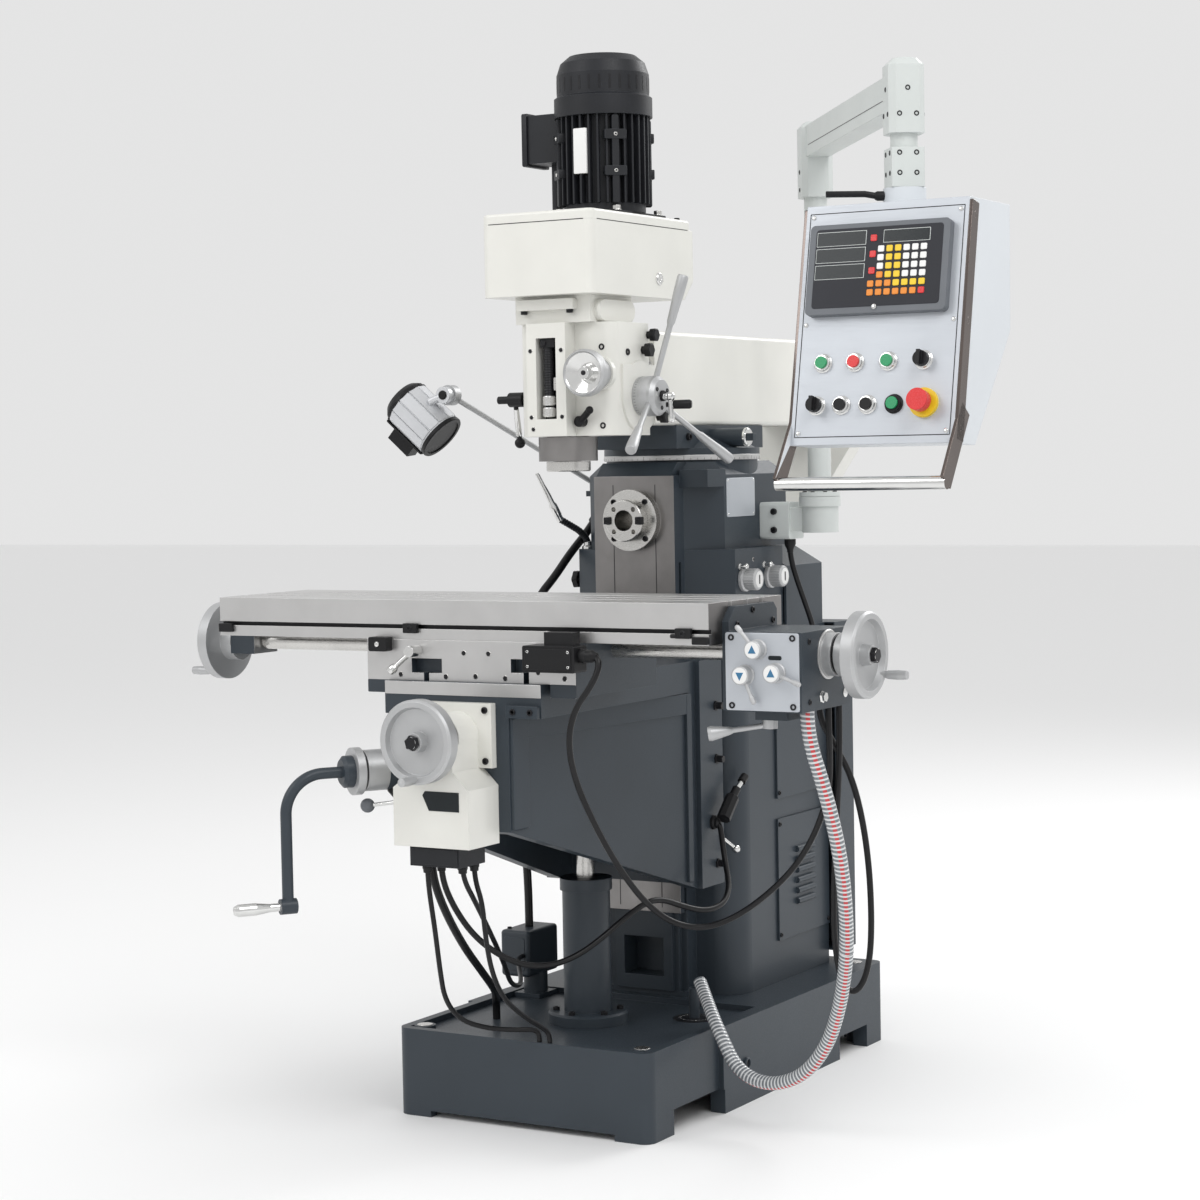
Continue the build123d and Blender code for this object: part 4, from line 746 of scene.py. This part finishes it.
def fit_column():
    """Drain, way lines, flange screws, plate, knob, coolant nozzle, cabinet door, pedestal and pump."""
    steel, black, sheet = targets("machine_column", "ground_steel", "black_plastic", "slate_sheet")
    drain = (306.5, -152, 84.5)
    lathe(sheet, SLATE, drain, RIGHT, [(12, -0.4), (12, 5), (10.5, 6.5), (8.5, 6.5), (7.5, 1), (TIP, 1)])
    lathe(black, BOLT, drain, RIGHT, cap(0.8, 7.3, 2.4, 6.5, 3), 6)
    for line_x in (-50, 52):
        groove(black, (line_x, -37, 820), FRONT, 1.6, 900, corner=0.5)
    screws(black, FRONT, 6, 3, product((-38, 38), [-57], (1156, 1234)))
    box(steel, PANEL, (165, 137, 1239), RIGHT, 130, 83, 1.2, 5, chamfer=0.4)
    for rivet in product([166], (78, 196), (1203, 1275)):
        lathe(steel, POLISHED, rivet, RIGHT, [(2.4, 0), (2.0, 1.0), (TIP, 1.4)], 12)
    screws(black, FRONT, 7, 6, product([200], [226], (1165, 1205)))
    lathe(black, BLACK, (222, 258, 1130), -Z, [
        (12.5, -14), (12.5, -4), (10.5, 2), (7, 9), (7, 14), (6.2, 15)])
    for plunger_y in (73, 187):
        lathe(steel, POLISHED, (192, plunger_y, 1092), RIGHT, [
            (7, -0.5), (7, 3), (4, 4), (4, 12), (6.5, 13), (6.5, 19), (5, 21), (TIP, 21.5)])
    holes(black, RIGHT, 3.5, [(192, 140, 1105)])
    knob(black, (-192, 75, 1063), LEFT, 20, 24)
    groove(black, (-132, 33.5, 1240), (-57, -68, 0), 10, 34, 0.4, 4.9)
    screws(black, RIGHT, 5, 3, product([205], (221, 457), (280, 523, 592, 888)))
    lathe(steel, POLISHED, (-176, 66, 1130), Z, [(13, -0.5), (13, 5), (9, 8), (9, 16), (7.5, 17)], 20)
    gooseneck = [Vector(spot) for spot in (
        (-176, 66, 1144), (-178, 58, 1158), (-184, 40, 1172), (-194, 20, 1184), (-205, -2, 1197))]
    tube(steel, BOLT, gooseneck, 6.5, 14)
    for start, end in zip(gooseneck, gooseneck[1:]):
        for share in (0.12, 0.37, 0.62, 0.87):
            lathe(steel, IRON_BLACK, start.lerp(end, share), end - start, [
                (6.5, -2.2), (7.6, -1.3), (7.6, 1.3), (6.5, 2.2)], 14)
    lathe(steel, POLISHED, gooseneck[-1], (-30, -43, 100), [
        (8, -4), (8, 8), (9, 10), (9, 34), (6.5, 40), (6.5, 60), (5, 84), (4.6, 112), (3.4, 113), (3.2, 100)])
    # the cabinet's door with its hinges, lock and louvres
    box(sheet, SLATE, (0, 566, 578), BACK, 424, 716, 2.0, 6, chamfer=0.8)
    for hinge_z in (305, 795):
        lathe(black, BLACK, (-214, 569, hinge_z), Z, [(5, 0), (5, 50)], 14)
    lathe(black, BLACK, (180, 568, 590), BACK, cap(-0.5, 13, 5, 10, 8))
    box(steel, POLISHED, (180, 576, 590), BACK, 4, 16, 1.0, 1, chamfer=0.3)
    for louvre_z in range(300, 427, 18):
        groove(black, (0, 568, louvre_z), BACK, 160, 5, 0.4, 2.4)
    # screw pedestal bolts, strainer, anchor washers and the pump's lid
    pedestal = Vector((0, -265, 190))
    strainer = Vector((187, -150, 166))
    screws(black, TOP, 7, 7, [pedestal + way * 66 for way in ways(6, X, Y, 30)])
    lathe(black, BOLT, strainer, TOP, cap(-0.4, 44, 1.2, 40, 2, 12), 36)
    for way in ways(24, X, Y):
        lathe(steel, POLISHED, strainer + Z * 2 + way * 30, TOP, [(2.2, -0.4), (2.2, 0.2), (TIP, 0.3)], 8)
    for washer in product((-255, 255), (-490, 490), [178]):
        lathe(steel, STEEL, washer, TOP, cap(-0.4, 16, 1.0, 14.5, 1.6, 9.5), 28)
    screws(black, TOP, 5, 3, product([-281], (-120, -46), [315]))
    box(sheet, SLATE, (-254, -145, 265), FRONT, 52, 72, 1.4, 6, chamfer=0.5)


def fit_dials():
    """White faces and grips on the two speed dials, and the turret's scale and bolts."""
    for body, at in (("speed_dial_front", (230, 92, 1064.5)), ("speed_dial_rear", (230, 214, 1066))):
        target = (body, "handwheel_alloy")
        face = Vector(at)
        lathe(target, WHITE, face, RIGHT, cap(-0.3, 17.5, 0.4, 17, 0.7), 32)
        groove(target, face + X * 0.8, RIGHT, 5, 20, 0.3, 2.4)
        for way in ways(24, Y, Z):
            box(target, DIAL, face - X * 15 + way * 22.6, way, 2.2, 22, 0.7, 0.8, chamfer=0.2, up=X)
    scale = ("turret", "ground_iron")
    lathe(scale, BRIGHT, (0, 180, 1320), Z, [(170.2, 0), (170.7, 0.5), (170.7, 10.5), (170.2, 11)], 96)
    ticks(scale, (0, 180, 1320.5), X, Y, Z, 72, 6, 170.6, (0.8, 8, 4.5), lift=0.5)
    lathe(scale, POLISHED, (185, 140, 1367), RIGHT, cap(-6, 20.4, -1, 18, 1.5, 12), 32)
    for side in (-1, 1):
        screws(("turret", "black_plastic"), X * side, 8, 22, product([82 * side], (30, 330), [1369.5]))


def fit_spindle():
    """Drive keys and their bolts on the horizontal spindle's nose."""
    target = ("horizontal_spindle", "ground_steel")
    for key_x in (-38, 38):
        box(target, BOLT, (key_x, -76, 1195), FRONT, 15, 15, 12, 1)
        screws(target, FRONT, 4.5, 1.2, [(key_x, -88, 1195)])


def fit_head():
    """Slot, depth screw and nuts, sockets, clamp knobs, flange plates and the tilt scale."""
    black, steel, ivory, scale = targets(
        "head", "black_plastic", "ground_steel", "ivory_casting", "ground_iron")
    groove(black, (0, -350, 1489), FRONT, 45.5, 161, 0.5, 1)
    thread = [(11.0 if step % 2 else 9.8, 3 + 2.6 * step) for step in range(44)]
    lathe(steel, BOLT, (-3, -367, 1440), Z, [(9, 0), *thread, (9, 119)], 20)
    for nut_z in (1412, 1435):
        nut = Vector((-3, -367, nut_z))
        lathe(steel, POLISHED, nut, Z, [(12, 0), (13, 1.5), (13, 18.5), (12, 20)], 28)
        for way in ways(28, X, Y):
            box(steel, STEEL, nut + Z * 10 + way * 12.9, way, 1.2, 15, 0.5, 0.5, chamfer=0.2)
    box(black, BLACK, (0, -362, 1560), FRONT, 34, 18, 16, 3)
    lathe(black, BOLT, (-8, -378, 1560), FRONT, cap(-0.4, 6, 3, 5, 4), 18)
    lathe(steel, STEEL, (16, -362, 1409), Z, [(3.5, 0), (3.5, 150)], 14)
    box(steel, STEEL, (16, -366, 1478), FRONT, 9, 26, 8, 2)
    holes(black, FRONT, 4, [*product((-36, 36), [-383], (1412, 1545)), (-32, -383, 1388)])
    corners = ((108, 1550), (108, 1393), (-62, 1393), (-62, 1560))
    screws(black, FRONT, 6.5, 2, [(x, -345, z) for x, z in corners])
    screws(black, RIGHT, 7, 3, [(135, -289, 1540)])
    for knob_at, size in (((135, -226, 1545), 15), ((135, -204, 1576), 14), ((140, -176, 1409), 13)):
        knob(black, knob_at, RIGHT, size, 22)
    box(ivory, IVORY, (-2, -365, 1637), FRONT, 134, 22, 18, 4, chamfer=1.5)
    box(ivory, IVORY, (95, -277, 1624), RIGHT, 150, 45, 12, 22, chamfer=3)
    for bolt_x in (-55, 52):
        lathe(black, BOLT, (bolt_x, -373, 1626), -Z, [
            (7, -1), (7, 6), (6, 7), (3.4, 7), (3, 4), (TIP, 4)], 18)
    for angle in (20, 160, 200, 340):
        way = ways(1, X, Z, angle)[0]
        lathe(black, BOLT, Vector((0, -140, 1490)) + way * 84, way, cap(8, 11, 17, 9, 19), 6)
    lathe(scale, BRIGHT, (0, -132, 1490), Y, [(99.5, 0), (100.6, 0.6), (100.6, 13), (99.5, 13.6)], 72)
    ticks(scale, (0, -125.5, 1490), X, Z, Y, 60, 5, 100.5, (0.8, 8, 4))


def fit_motor():
    """Housing seams, plug and lid screws; the motor's label, clamps, feet, terminal box and grille."""
    black, steel, motor = targets("head", "black_plastic", "ground_steel", "motor_black")
    axis = Vector((0, -135, 0))
    for side in (-1, 1):
        groove(black, (130 * side, -205, 1800), X * side, 375, 1.6)
    groove(black, (0, -413, 1800), FRONT, 222, 1.6)
    lathe(steel, POLISHED, (130, -144, 1693), RIGHT, [
        (13, -0.4), (13, 2), (11, 4), (6, 4), (5, 2), (TIP, 2)], 28)
    screws(black, TOP, 6, 5, product((-112, 112), (-300, -30), [1821]))
    box(motor, WHITE, (0, -232.3, 1956), FRONT, 30, 92, 1.4, 2, chamfer=0.3, sink=10)
    for way in ways(4, X, Y, -46):
        side = axis + way * 95
        box(motor, IRON_BLACK, side + Z * 1938, way, 14, 180, 5, 3, chamfer=2, sink=10)
        for clamp_z in (1914, 1988):
            box(motor, IRON_BLACK, side + Z * clamp_z, way, 46, 20, 7, 3, sink=10)
            screws(motor, way, 4, 1.5, [side + way * 7 + Z * clamp_z], STEEL)
    for foot in product((-68, 68), (-203, -32), [1833]):
        lathe(steel, STEEL, foot, TOP, [(11, -0.4), (11, 1.6), (9, 2.4), (9, 10), (7.5, 11), (TIP, 11)], 6)
    box(motor, IRON_BLACK, (-165, -135, 1995), LEFT, 90, 110, 8, 4, sink=4)
    screws(black, LEFT, 4, 2, product([-173], (-172, -98), (1950, 2040)))
    for way in ways(28, X, Y):
        groove(black, axis + Z * 2096 + way * 96, way, 5, 30, 0.4, 2.4)
    for inner in (20, 34, 48, 62):
        outer = inner + 4
        lathe(black, BOLT, axis + Z * 2156.2, Z, [(outer, 0), (outer, 0.5), (inner, 0.5), (inner, 0)], 48)


def fit_head_controls():
    """Grips, scale and faces on the quill feed hub, the fine wheel, the lock and the clutch lever."""
    hub = ("quill_feed_hub", "black_plastic")
    axis = Vector((0, -244, 1451))
    splay = math.radians(16.6)
    for way in ways(3, Y, Z, 87):
        reach = X * math.sin(splay) + way * math.cos(splay)
        lathe(hub, ALLOY, axis + X * 163 + reach * 15, reach, [
            (6.2, 132), (8.4, 140), (9, 160), (11.4, 206), (11.5, 232), (9.4, 236.4), (TIP, 236.6)], 20)
    lathe(hub, DIAL, axis + X * 180, RIGHT, [(36, 0), (40.6, -8), (40.6, -24), (39, -25)], 40)
    lathe(hub, BLACK, axis + X * 188, RIGHT, cap(-0.4, 11, 5, 9, 7), 24)
    screws(hub, RIGHT, 4.5, 1.5, [axis + X * 188 + way * 24 for way in ways(3, Y, Z, 27)])
    lathe(hub, POLISHED, (188, -246, 1449), RIGHT, [
        (7, 0), (7, 16), (9, 19), (8, 26), (4, 29), (TIP, 29)], 20)
    lathe(hub, POLISHED, (208, -246, 1449), (0, 4, -52), [
        (5, 0), (5, 34), (7, 38), (7, 48), (5, 52), (TIP, 52)], 18)
    lathe(hub, BLACK, (204, -240, 1433), (1, 0.35, 0), [
        (5, -8), (5, 4), (9, 6), (9.4, 40), (7, 44), (TIP, 44)], 18)
    ticks(hub, axis + X * 146, Y, Z, X, 40, 5, 39.9, (0.7, 7, 4), 0.3)
    lathe(("fine_feed_wheel", "black_plastic"), BOLT, (104, -412, 1497), FRONT, cap(-0.4, 5, 1, 4, 1.6), 18)
    lock = ("quill_lock_lever", "black_plastic")
    tube(lock, BLACK, [(62, -357, 1402), (76, -361, 1413), (88, -365, 1423)], 7)
    lathe(("feed_clutch_lever", "ground_steel"), POLISHED, (-110, -325, 1444), (-12, 33, -78), [
        (5.2, 14), (5.6, 16), (6.4, 66), (6, 72), (5.2, 74)], 16)


def fit_table():
    """Trip dogs, stop blocks and the bearing's ring and screws on the table."""
    steel, black = targets("table", "ground_steel", "black_plastic")
    for dog_x in (-124, 477):
        box(black, BLACK, (dog_x, -697, 1006), FRONT, 32, 19, 9, 2)
        screws(black, FRONT, 5.5, 2, [(dog_x, -706, 1006)])
    box(black, BLACK, (512, -697, 993), FRONT, 33, 14, 8, 2)
    lathe(black, BLACK, (461, -704, 1001), LEFT, cap(-2, 4, 8, 3, 9), 14)
    box(black, BLACK, (-575, -697, 1000), FRONT, 33, 17, 8, 2)
    screws(black, LEFT, 6, 3, product([-654], (-574, -524), (950, 990)))
    lathe(steel, BRIGHT, (-654, -549, 962), LEFT, cap(-0.4, 23, -0.1, 20, 0.1, 13), 40)
    screws(black, RIGHT, 6, 3, ((541, -612, 1018), (541, -466, 1018), (541, -549, 1042)))


def fit_saddle():
    """Stop block, screw holes, switch plate and gland, and slate ends of the front face."""
    steel, black, slate = targets("saddle", "ground_steel", "black_plastic", "slate_casting")
    box(black, BLACK, (-190, -700, 975), FRONT, 42, 28, 22, 4)
    lathe(steel, POLISHED, (-190, -722, 975), FRONT, cap(-0.4, 5, 1.5, 3, 2.2))
    spots = ((-3, 960), (53, 960), (23, 916), (-45, 914), (90, 914), (164, 927), (-150, 916), (222, 916))
    holes(black, FRONT, 4.5, [(x, -700, z) for x, z in spots])
    box(black, BLACK, (213, -745, 956), FRONT, 100, 40, 2, 4)
    screws(steel, FRONT, 3, 0.8, product((169, 257), [-747], (942, 970)), POLISHED)
    lathe(black, BLACK, (288, -722, 962), X, [
        (14, -16), (14, -6), (12, -4), (12, 8), (9, 12), (7, 18)], 12)
    for middle_x, width in ((-203, 50), (218, 56)):
        box(slate, SLATE, (middle_x, -700, 892.5), FRONT, width, 25, 0.8, 2, chamfer=0.3)


def fit_feed():
    """Front plate, screws, sight glass, plugs and selector faces; nuts on the three screw ends."""
    black, steel = targets("table", "black_plastic", "ground_steel")
    box(("table", "handwheel_alloy"), PANEL, (617, -661, 936), FRONT, 149, 142, 2.2, 4, chamfer=0.6)
    screws(black, FRONT, 6, 2.5, product((555, 679), [-663], (874, 998)))
    box(black, SCREEN, (643.5, -663, 962), FRONT, 27, 8, 0.8, 3.5, chamfer=0.2)
    lathe(steel, POLISHED, (695, -578, 886), RIGHT, [(12, -0.4), (12, 2), (9, 4), (9, 9), (TIP, 9)], 6)
    lathe(steel, POLISHED, (695, -480, 886), RIGHT, cap(-0.4, 9, 2, 7, 3), 20)
    lathe(steel, BRIGHT, (695, -549, 962), RIGHT, cap(-0.4, 46, 2, 44, 3.5, 40.4), 40)
    lathe(steel, BOLT, (717, -549, 962), RIGHT, [(36, -0.4), (36, 5.6), (13, 5.6)], 40)
    screws(black, RIGHT, 5.5, 2, ((695, -628, 990), (695, -470, 990), (695, -628, 880)))
    for name, x, z, flip in (("top", 609, 977, 1), ("left", 583, 930, -1), ("right", 646, 935, 1)):
        target = (f"feed_selector_{name}", "black_plastic")
        lathe(target, WHITE, (x, -686.5, z), FRONT, cap(-0.4, 14.6, 0.3, 14.2, 0.6), 32)
        arrow = [(-8, -6 * flip), (8, -6 * flip), (0, 9 * flip)][::flip]
        prism(target, BLUE, (x, -687, z), FRONT, arrow, 0.4, 0.1)
    screw_ends = (
        ("table_screw", (795, -549, 962), RIGHT),
        ("table_screw", (-726, -549, 962), LEFT),
        ("cross_handwheel", (0, -892, 806), FRONT),
    )
    for body, at, axis in screw_ends:
        lathe((body, "ground_steel"), BOLT, at, axis, cap(-11, 15, -2, 12.5, 0.6), 6)


def fit_knee():
    """Way bar, side frames, bolted block, the gearbox's window, scale and glands, levers and connector."""
    steel, black, slate = targets("knee", "ground_steel", "black_plastic", "slate_casting")
    box(steel, BRIGHT, (0, -715, 892), FRONT, 355, 25, 0.8, 1, chamfer=0.3)
    # raised bars on the tapering sides, each from (y, z) to (y, z) with its width and rise
    nose_x, nose_y = 105, -715
    flare, depth = 73, 585
    bars = (
        ((-712, 819), (-134, 819), 42, 6.0),
        ((-688, 625), (-688, 840), 48, 7.0),
        ((-142, 448), (-142, 840), 16, 6.5),
    )
    for side in (-1, 1):
        out = Vector((depth * side, -flare, 0))
        for first, last, width, rise in bars:
            start, end = (Vector((side * (nose_x + (y - nose_y) * flare / depth), y, z))
                          for y, z in (first, last))
            along = end - start
            box(slate, SLATE, (start + end) / 2, out, width, along.length, rise, 3, chamfer=2.5,
                up=along.normalized(), sink=3)
    box(slate, SLATE, (141, -715, 853), FRONT, 70, 24, 12, 2)
    screws(black, FRONT, 6, 3, product((122, 160), [-727], [853]))
    # gearbox: sight window, flange screws, scale, terminal box lid and glands
    window = [(-10, 671), (58, 671), (58, 708), (-18, 708), (-24, 700)]
    prism(black, SCREEN, (0, -820, 0), FRONT, window, 0.8, 0.2)
    screws(black, FRONT, 6.5, 4, product((-62, 62), [-731], (758, 855)))
    lathe(steel, BRIGHT, (0, -820, 806), FRONT, cap(-22, 46.3, -2, 44, -0.2, 30), 48)
    ticks(black, (0, -807, 806), X, Z, Y, 50, 5, 46.2, (0.6, 8, 4), corner=0.25)
    box(black, IRON_BLACK, (-6, -810, 582), FRONT, 104, 30, 1.6, 3, chamfer=0.5)
    for gland in ((-31, -798), (-46, -760), (38, -782), (40, -745), (-18, -770)):
        lathe(black, BLACK, (*gland, 563), -Z, [(10, -3), (10, 5), (8.6, 7), (8.2, 13), (6, 14)], 12)
    ball_lever(steel, (-91, -762, 680), (-178, -782, 668), 14, GREY)
    tube(black, BLACK, [(-150, -740, 700), (-105, -735, 655)], 11)
    # right jaw: ball lever, bolts, cable connector and gland
    ball_lever(steel, (190, -30, 530), (212, 0, 500), 9)
    for bolt_z in (806, 694, 474):
        lathe(black, BOLT, (190, -40, bolt_z), RIGHT, [
            (11, -0.4), (11, 3), (8, 4), (8, 16), (7, 17), (TIP, 17)], 6)
    tube(black, BLACK, [(216, -62, 572), (216, -20, 612)], 15, 8)
    tube(black, BLACK, [(216, -20, 612), (216, 0, 628)], 9)
    tube(steel, POLISHED, [(216, 0, 628), (216, 22, 640)], 5.5)
    tube(black, BLACK, [(216, 22, 640), (216, 38, 650)], 9)
    lathe(black, BLACK, (190, -60, 563), X, [(15, -0.5), (15, 6), (12, 8), (12, 14), (7, 16)], 12)


def fit_pendant():
    """Panel lines and screws, readout face, displays and keys, button collars, straps and clamp."""
    black, steel, grey = targets("pendant_box", "black_plastic", "ground_steel", "grey_plastic")
    foot = PANEL_FOOT / MM

    def panel(u, v, lift=0.0):
        return foot + X * u + PANEL_UP * v + PANEL_OUT * lift

    def on_readout(material, u, v, width, tall, height, corner, lift, chamfer=0.4):
        box(grey, material, panel(u, v, lift), PANEL_OUT, width, tall, height, corner, chamfer=chamfer,
            up=PANEL_UP)

    for u in (-153, 153):
        groove(black, panel(u, 225), PANEL_OUT, 1.6, 420, up=PANEL_UP)
        for v in (22, 225, 428):
            lathe(steel, POLISHED, panel(u * 0.955, v), PANEL_OUT, cap(-0.3, 4.4, 1.2, 3, 2), 14)
    for v in (15, 435):
        groove(black, panel(0, v), PANEL_OUT, 307, 1.6, up=PANEL_UP)
    on_readout(FACE, -3.5, 325, 252, 148, 0.8, 6, 18)
    displays = ((-77.5, 380, 97, 25), (-77.5, 349, 97, 25), (-77.5, 318, 97, 25), (52, 380, 90, 22))
    for u, v, width, tall in displays:
        on_readout(PALE, u, v, width + 2, tall + 2, 0.4, 1, 18.7, 0.1)
        on_readout(SCREEN, u, v, width, tall, 0.4, 1, 19.0, 0.1)
    keys = {"W": WHITE, "Y": YELLOW, "O": ORANGE, "R": RED}
    for row, colours in enumerate((" WYYWWW", " WYYWWW", " WYYWWW", " OYYWWW", "OOOYYYY", "OOOOOOR")):
        for column, colour in enumerate(colours):
            if colour in keys:
                on_readout(keys[colour], -13.8 + 16.8 * column, 357 - 16.1 * row, 12, 11.5, 2.0, 2, 18.6)
    for v in (378, 348, 317):
        on_readout(RED, -13, v, 12, 12, 2.0, 2, 18.6)
    lathe(steel, POLISHED, panel(-3.5, 250, 18), PANEL_OUT, cap(-0.3, 5, 2, 3, 3), 14)
    collar = [(18, -0.3), (18, 1.6), (15.4, 3), (15.4, 8.2), (13.6, 8.8), (11.8, 8.8)]
    lit_u = 41.3
    for v, places in ((152, (-105.4, -41.3, 24.4, 93.5)), (73, (-112.3, -62.7, -10.5, lit_u))):
        for u in places:
            lathe(steel, BLACK if u == lit_u else POLISHED, panel(u, v), PANEL_OUT, collar, 32)
    for side, strap_x in ((-1, 621), (1, 955)):
        out = X * side
        box(steel, DARK_POLISH, (strap_x - side * 6, -495, 1562), out, 30, 440, 6, 3, chamfer=0.6,
            up=PANEL_UP)
        for v in (30, 225, 420):
            spot = panel(0, v, -16)
            spot.x = strap_x
            lathe(steel, POLISHED, spot, out, [(6, -0.6), (6, 0), (4, -0.2), (TIP, -0.3)], 16)
        lathe(steel, BOLT, (strap_x, -600, 1274), out, cap(-0.4, 9, 0, 5, -1), 6)
    lathe(black, BLACK, (781, -373, 1803), (-0.8, -0.6, 0), cap(34, 9, 52, 7, 56), 20)
    tube(black, BLACK, [(739, -404, 1803), (720, -416, 1807), (652, -440, 1809)], 6)


def fit_pendant_arm():
    """Clamp screws, side lines, end cap and collar screws of the pendant's arm."""
    black, pale = targets("pendant_arm", "black_plastic", "pale_sheet")
    post, drop = Vector((294, 260, 0)), Vector((781, -373, 0))
    along = (drop - post).normalized()
    across = Vector((-along.y, along.x, 0))
    clamps = (
        (post, (-along, across, -across), 34, ((0, 1894), (0, 1932))),
        (drop, (along, across, -across), 34, ((-16, 1951), (16, 1951), (0, 1998))),
        (drop, (along, -along, across, -across), 31, ((-16, 1843), (16, 1843), (-16, 1880), (16, 1880))),
    )
    for axis, sides, face, spots in clamps:
        for out in sides:
            aside = Z.cross(out)
            screws(black, out, 5, 1.0, [axis + Z * z + out * face + aside * shift for shift, z in spots])
    for out in (across, -across):
        groove(black, (post + drop) / 2 + Z * 1985 + out * 25, out, 700, 1.6)
    lathe(pale, PALE, drop + Z * 2054, Z, [(24, -2), (22, 1.2), (12, 2.6), (TIP, 3)], 32)
    screws(black, TOP, 4.5, 2, [post + Z * 1246 + way * 35 for way in ways(8, X, Y)])


def fit_lamp():
    """Panelled sleeve, side plate, mouth ring, dark mouth, notched back cap and the arm's bolts."""
    alloy = ("lamp_head", "lamp_alloy")
    black = ("lamp_head", "black_plastic")
    arm = ("lamp_arm", "black_plastic")
    back = LAMP_AT - LAMP_AXIS * 62
    for way in ways(12, LAMP_UP, LAMP_AXIS.cross(LAMP_UP)):
        box(alloy, LAMP, back + LAMP_AXIS * 66 + way * 51, way, 25.6, 100, 2.4, 1.6, chamfer=1.4,
            up=LAMP_AXIS)
        box(black, BLACK, back + LAMP_AXIS * 13 + way * 52.8, way, 12, 7, 2.2, 1, up=LAMP_AXIS)
    box(black, BLACK, LAMP_AT - LAMP_UP * 53, -LAMP_UP, 46, 112, 3, 4, up=LAMP_AXIS)
    lathe(black, BLACK, back, LAMP_AXIS, [
        (46, 118), (54, 119), (54.6, 126), (53, 128.5), (45.6, 128.5), (45.4, 126)], 48)
    lathe(black, BLACK, back, LAMP_AXIS, [(43, -4), (51, 5), (53.4, 9), (53.4, 17), (52.2, 18)], 40)
    lathe(alloy, LENS, back, LAMP_AXIS, [(44.6, 112), (44.6, 114), (30, 117), (TIP, 118)], 40)
    lathe(black, BLACK, (-405, -150, 1470), FRONT, cap(-0.4, 10, 2, 8, 4), 24)
    lathe(arm, BLACK, (-405, -109, 1470), Y, cap(-0.4, 14, 4, 10, 7), 24)
    lathe(arm, BLACK, (-185, 115, 1282), Z, cap(-8, 11.4, 0, 9, 3), 24)


place_camera()
set_stage()
dress_nodes()
lay_coolant_hose()
lay_cables()
for fit in (fit_column, fit_dials, fit_spindle, fit_head, fit_motor, fit_head_controls, fit_table, fit_saddle,
            fit_feed, fit_knee, fit_pendant, fit_pendant_arm, fit_lamp):
    fit()
finish_fittings()
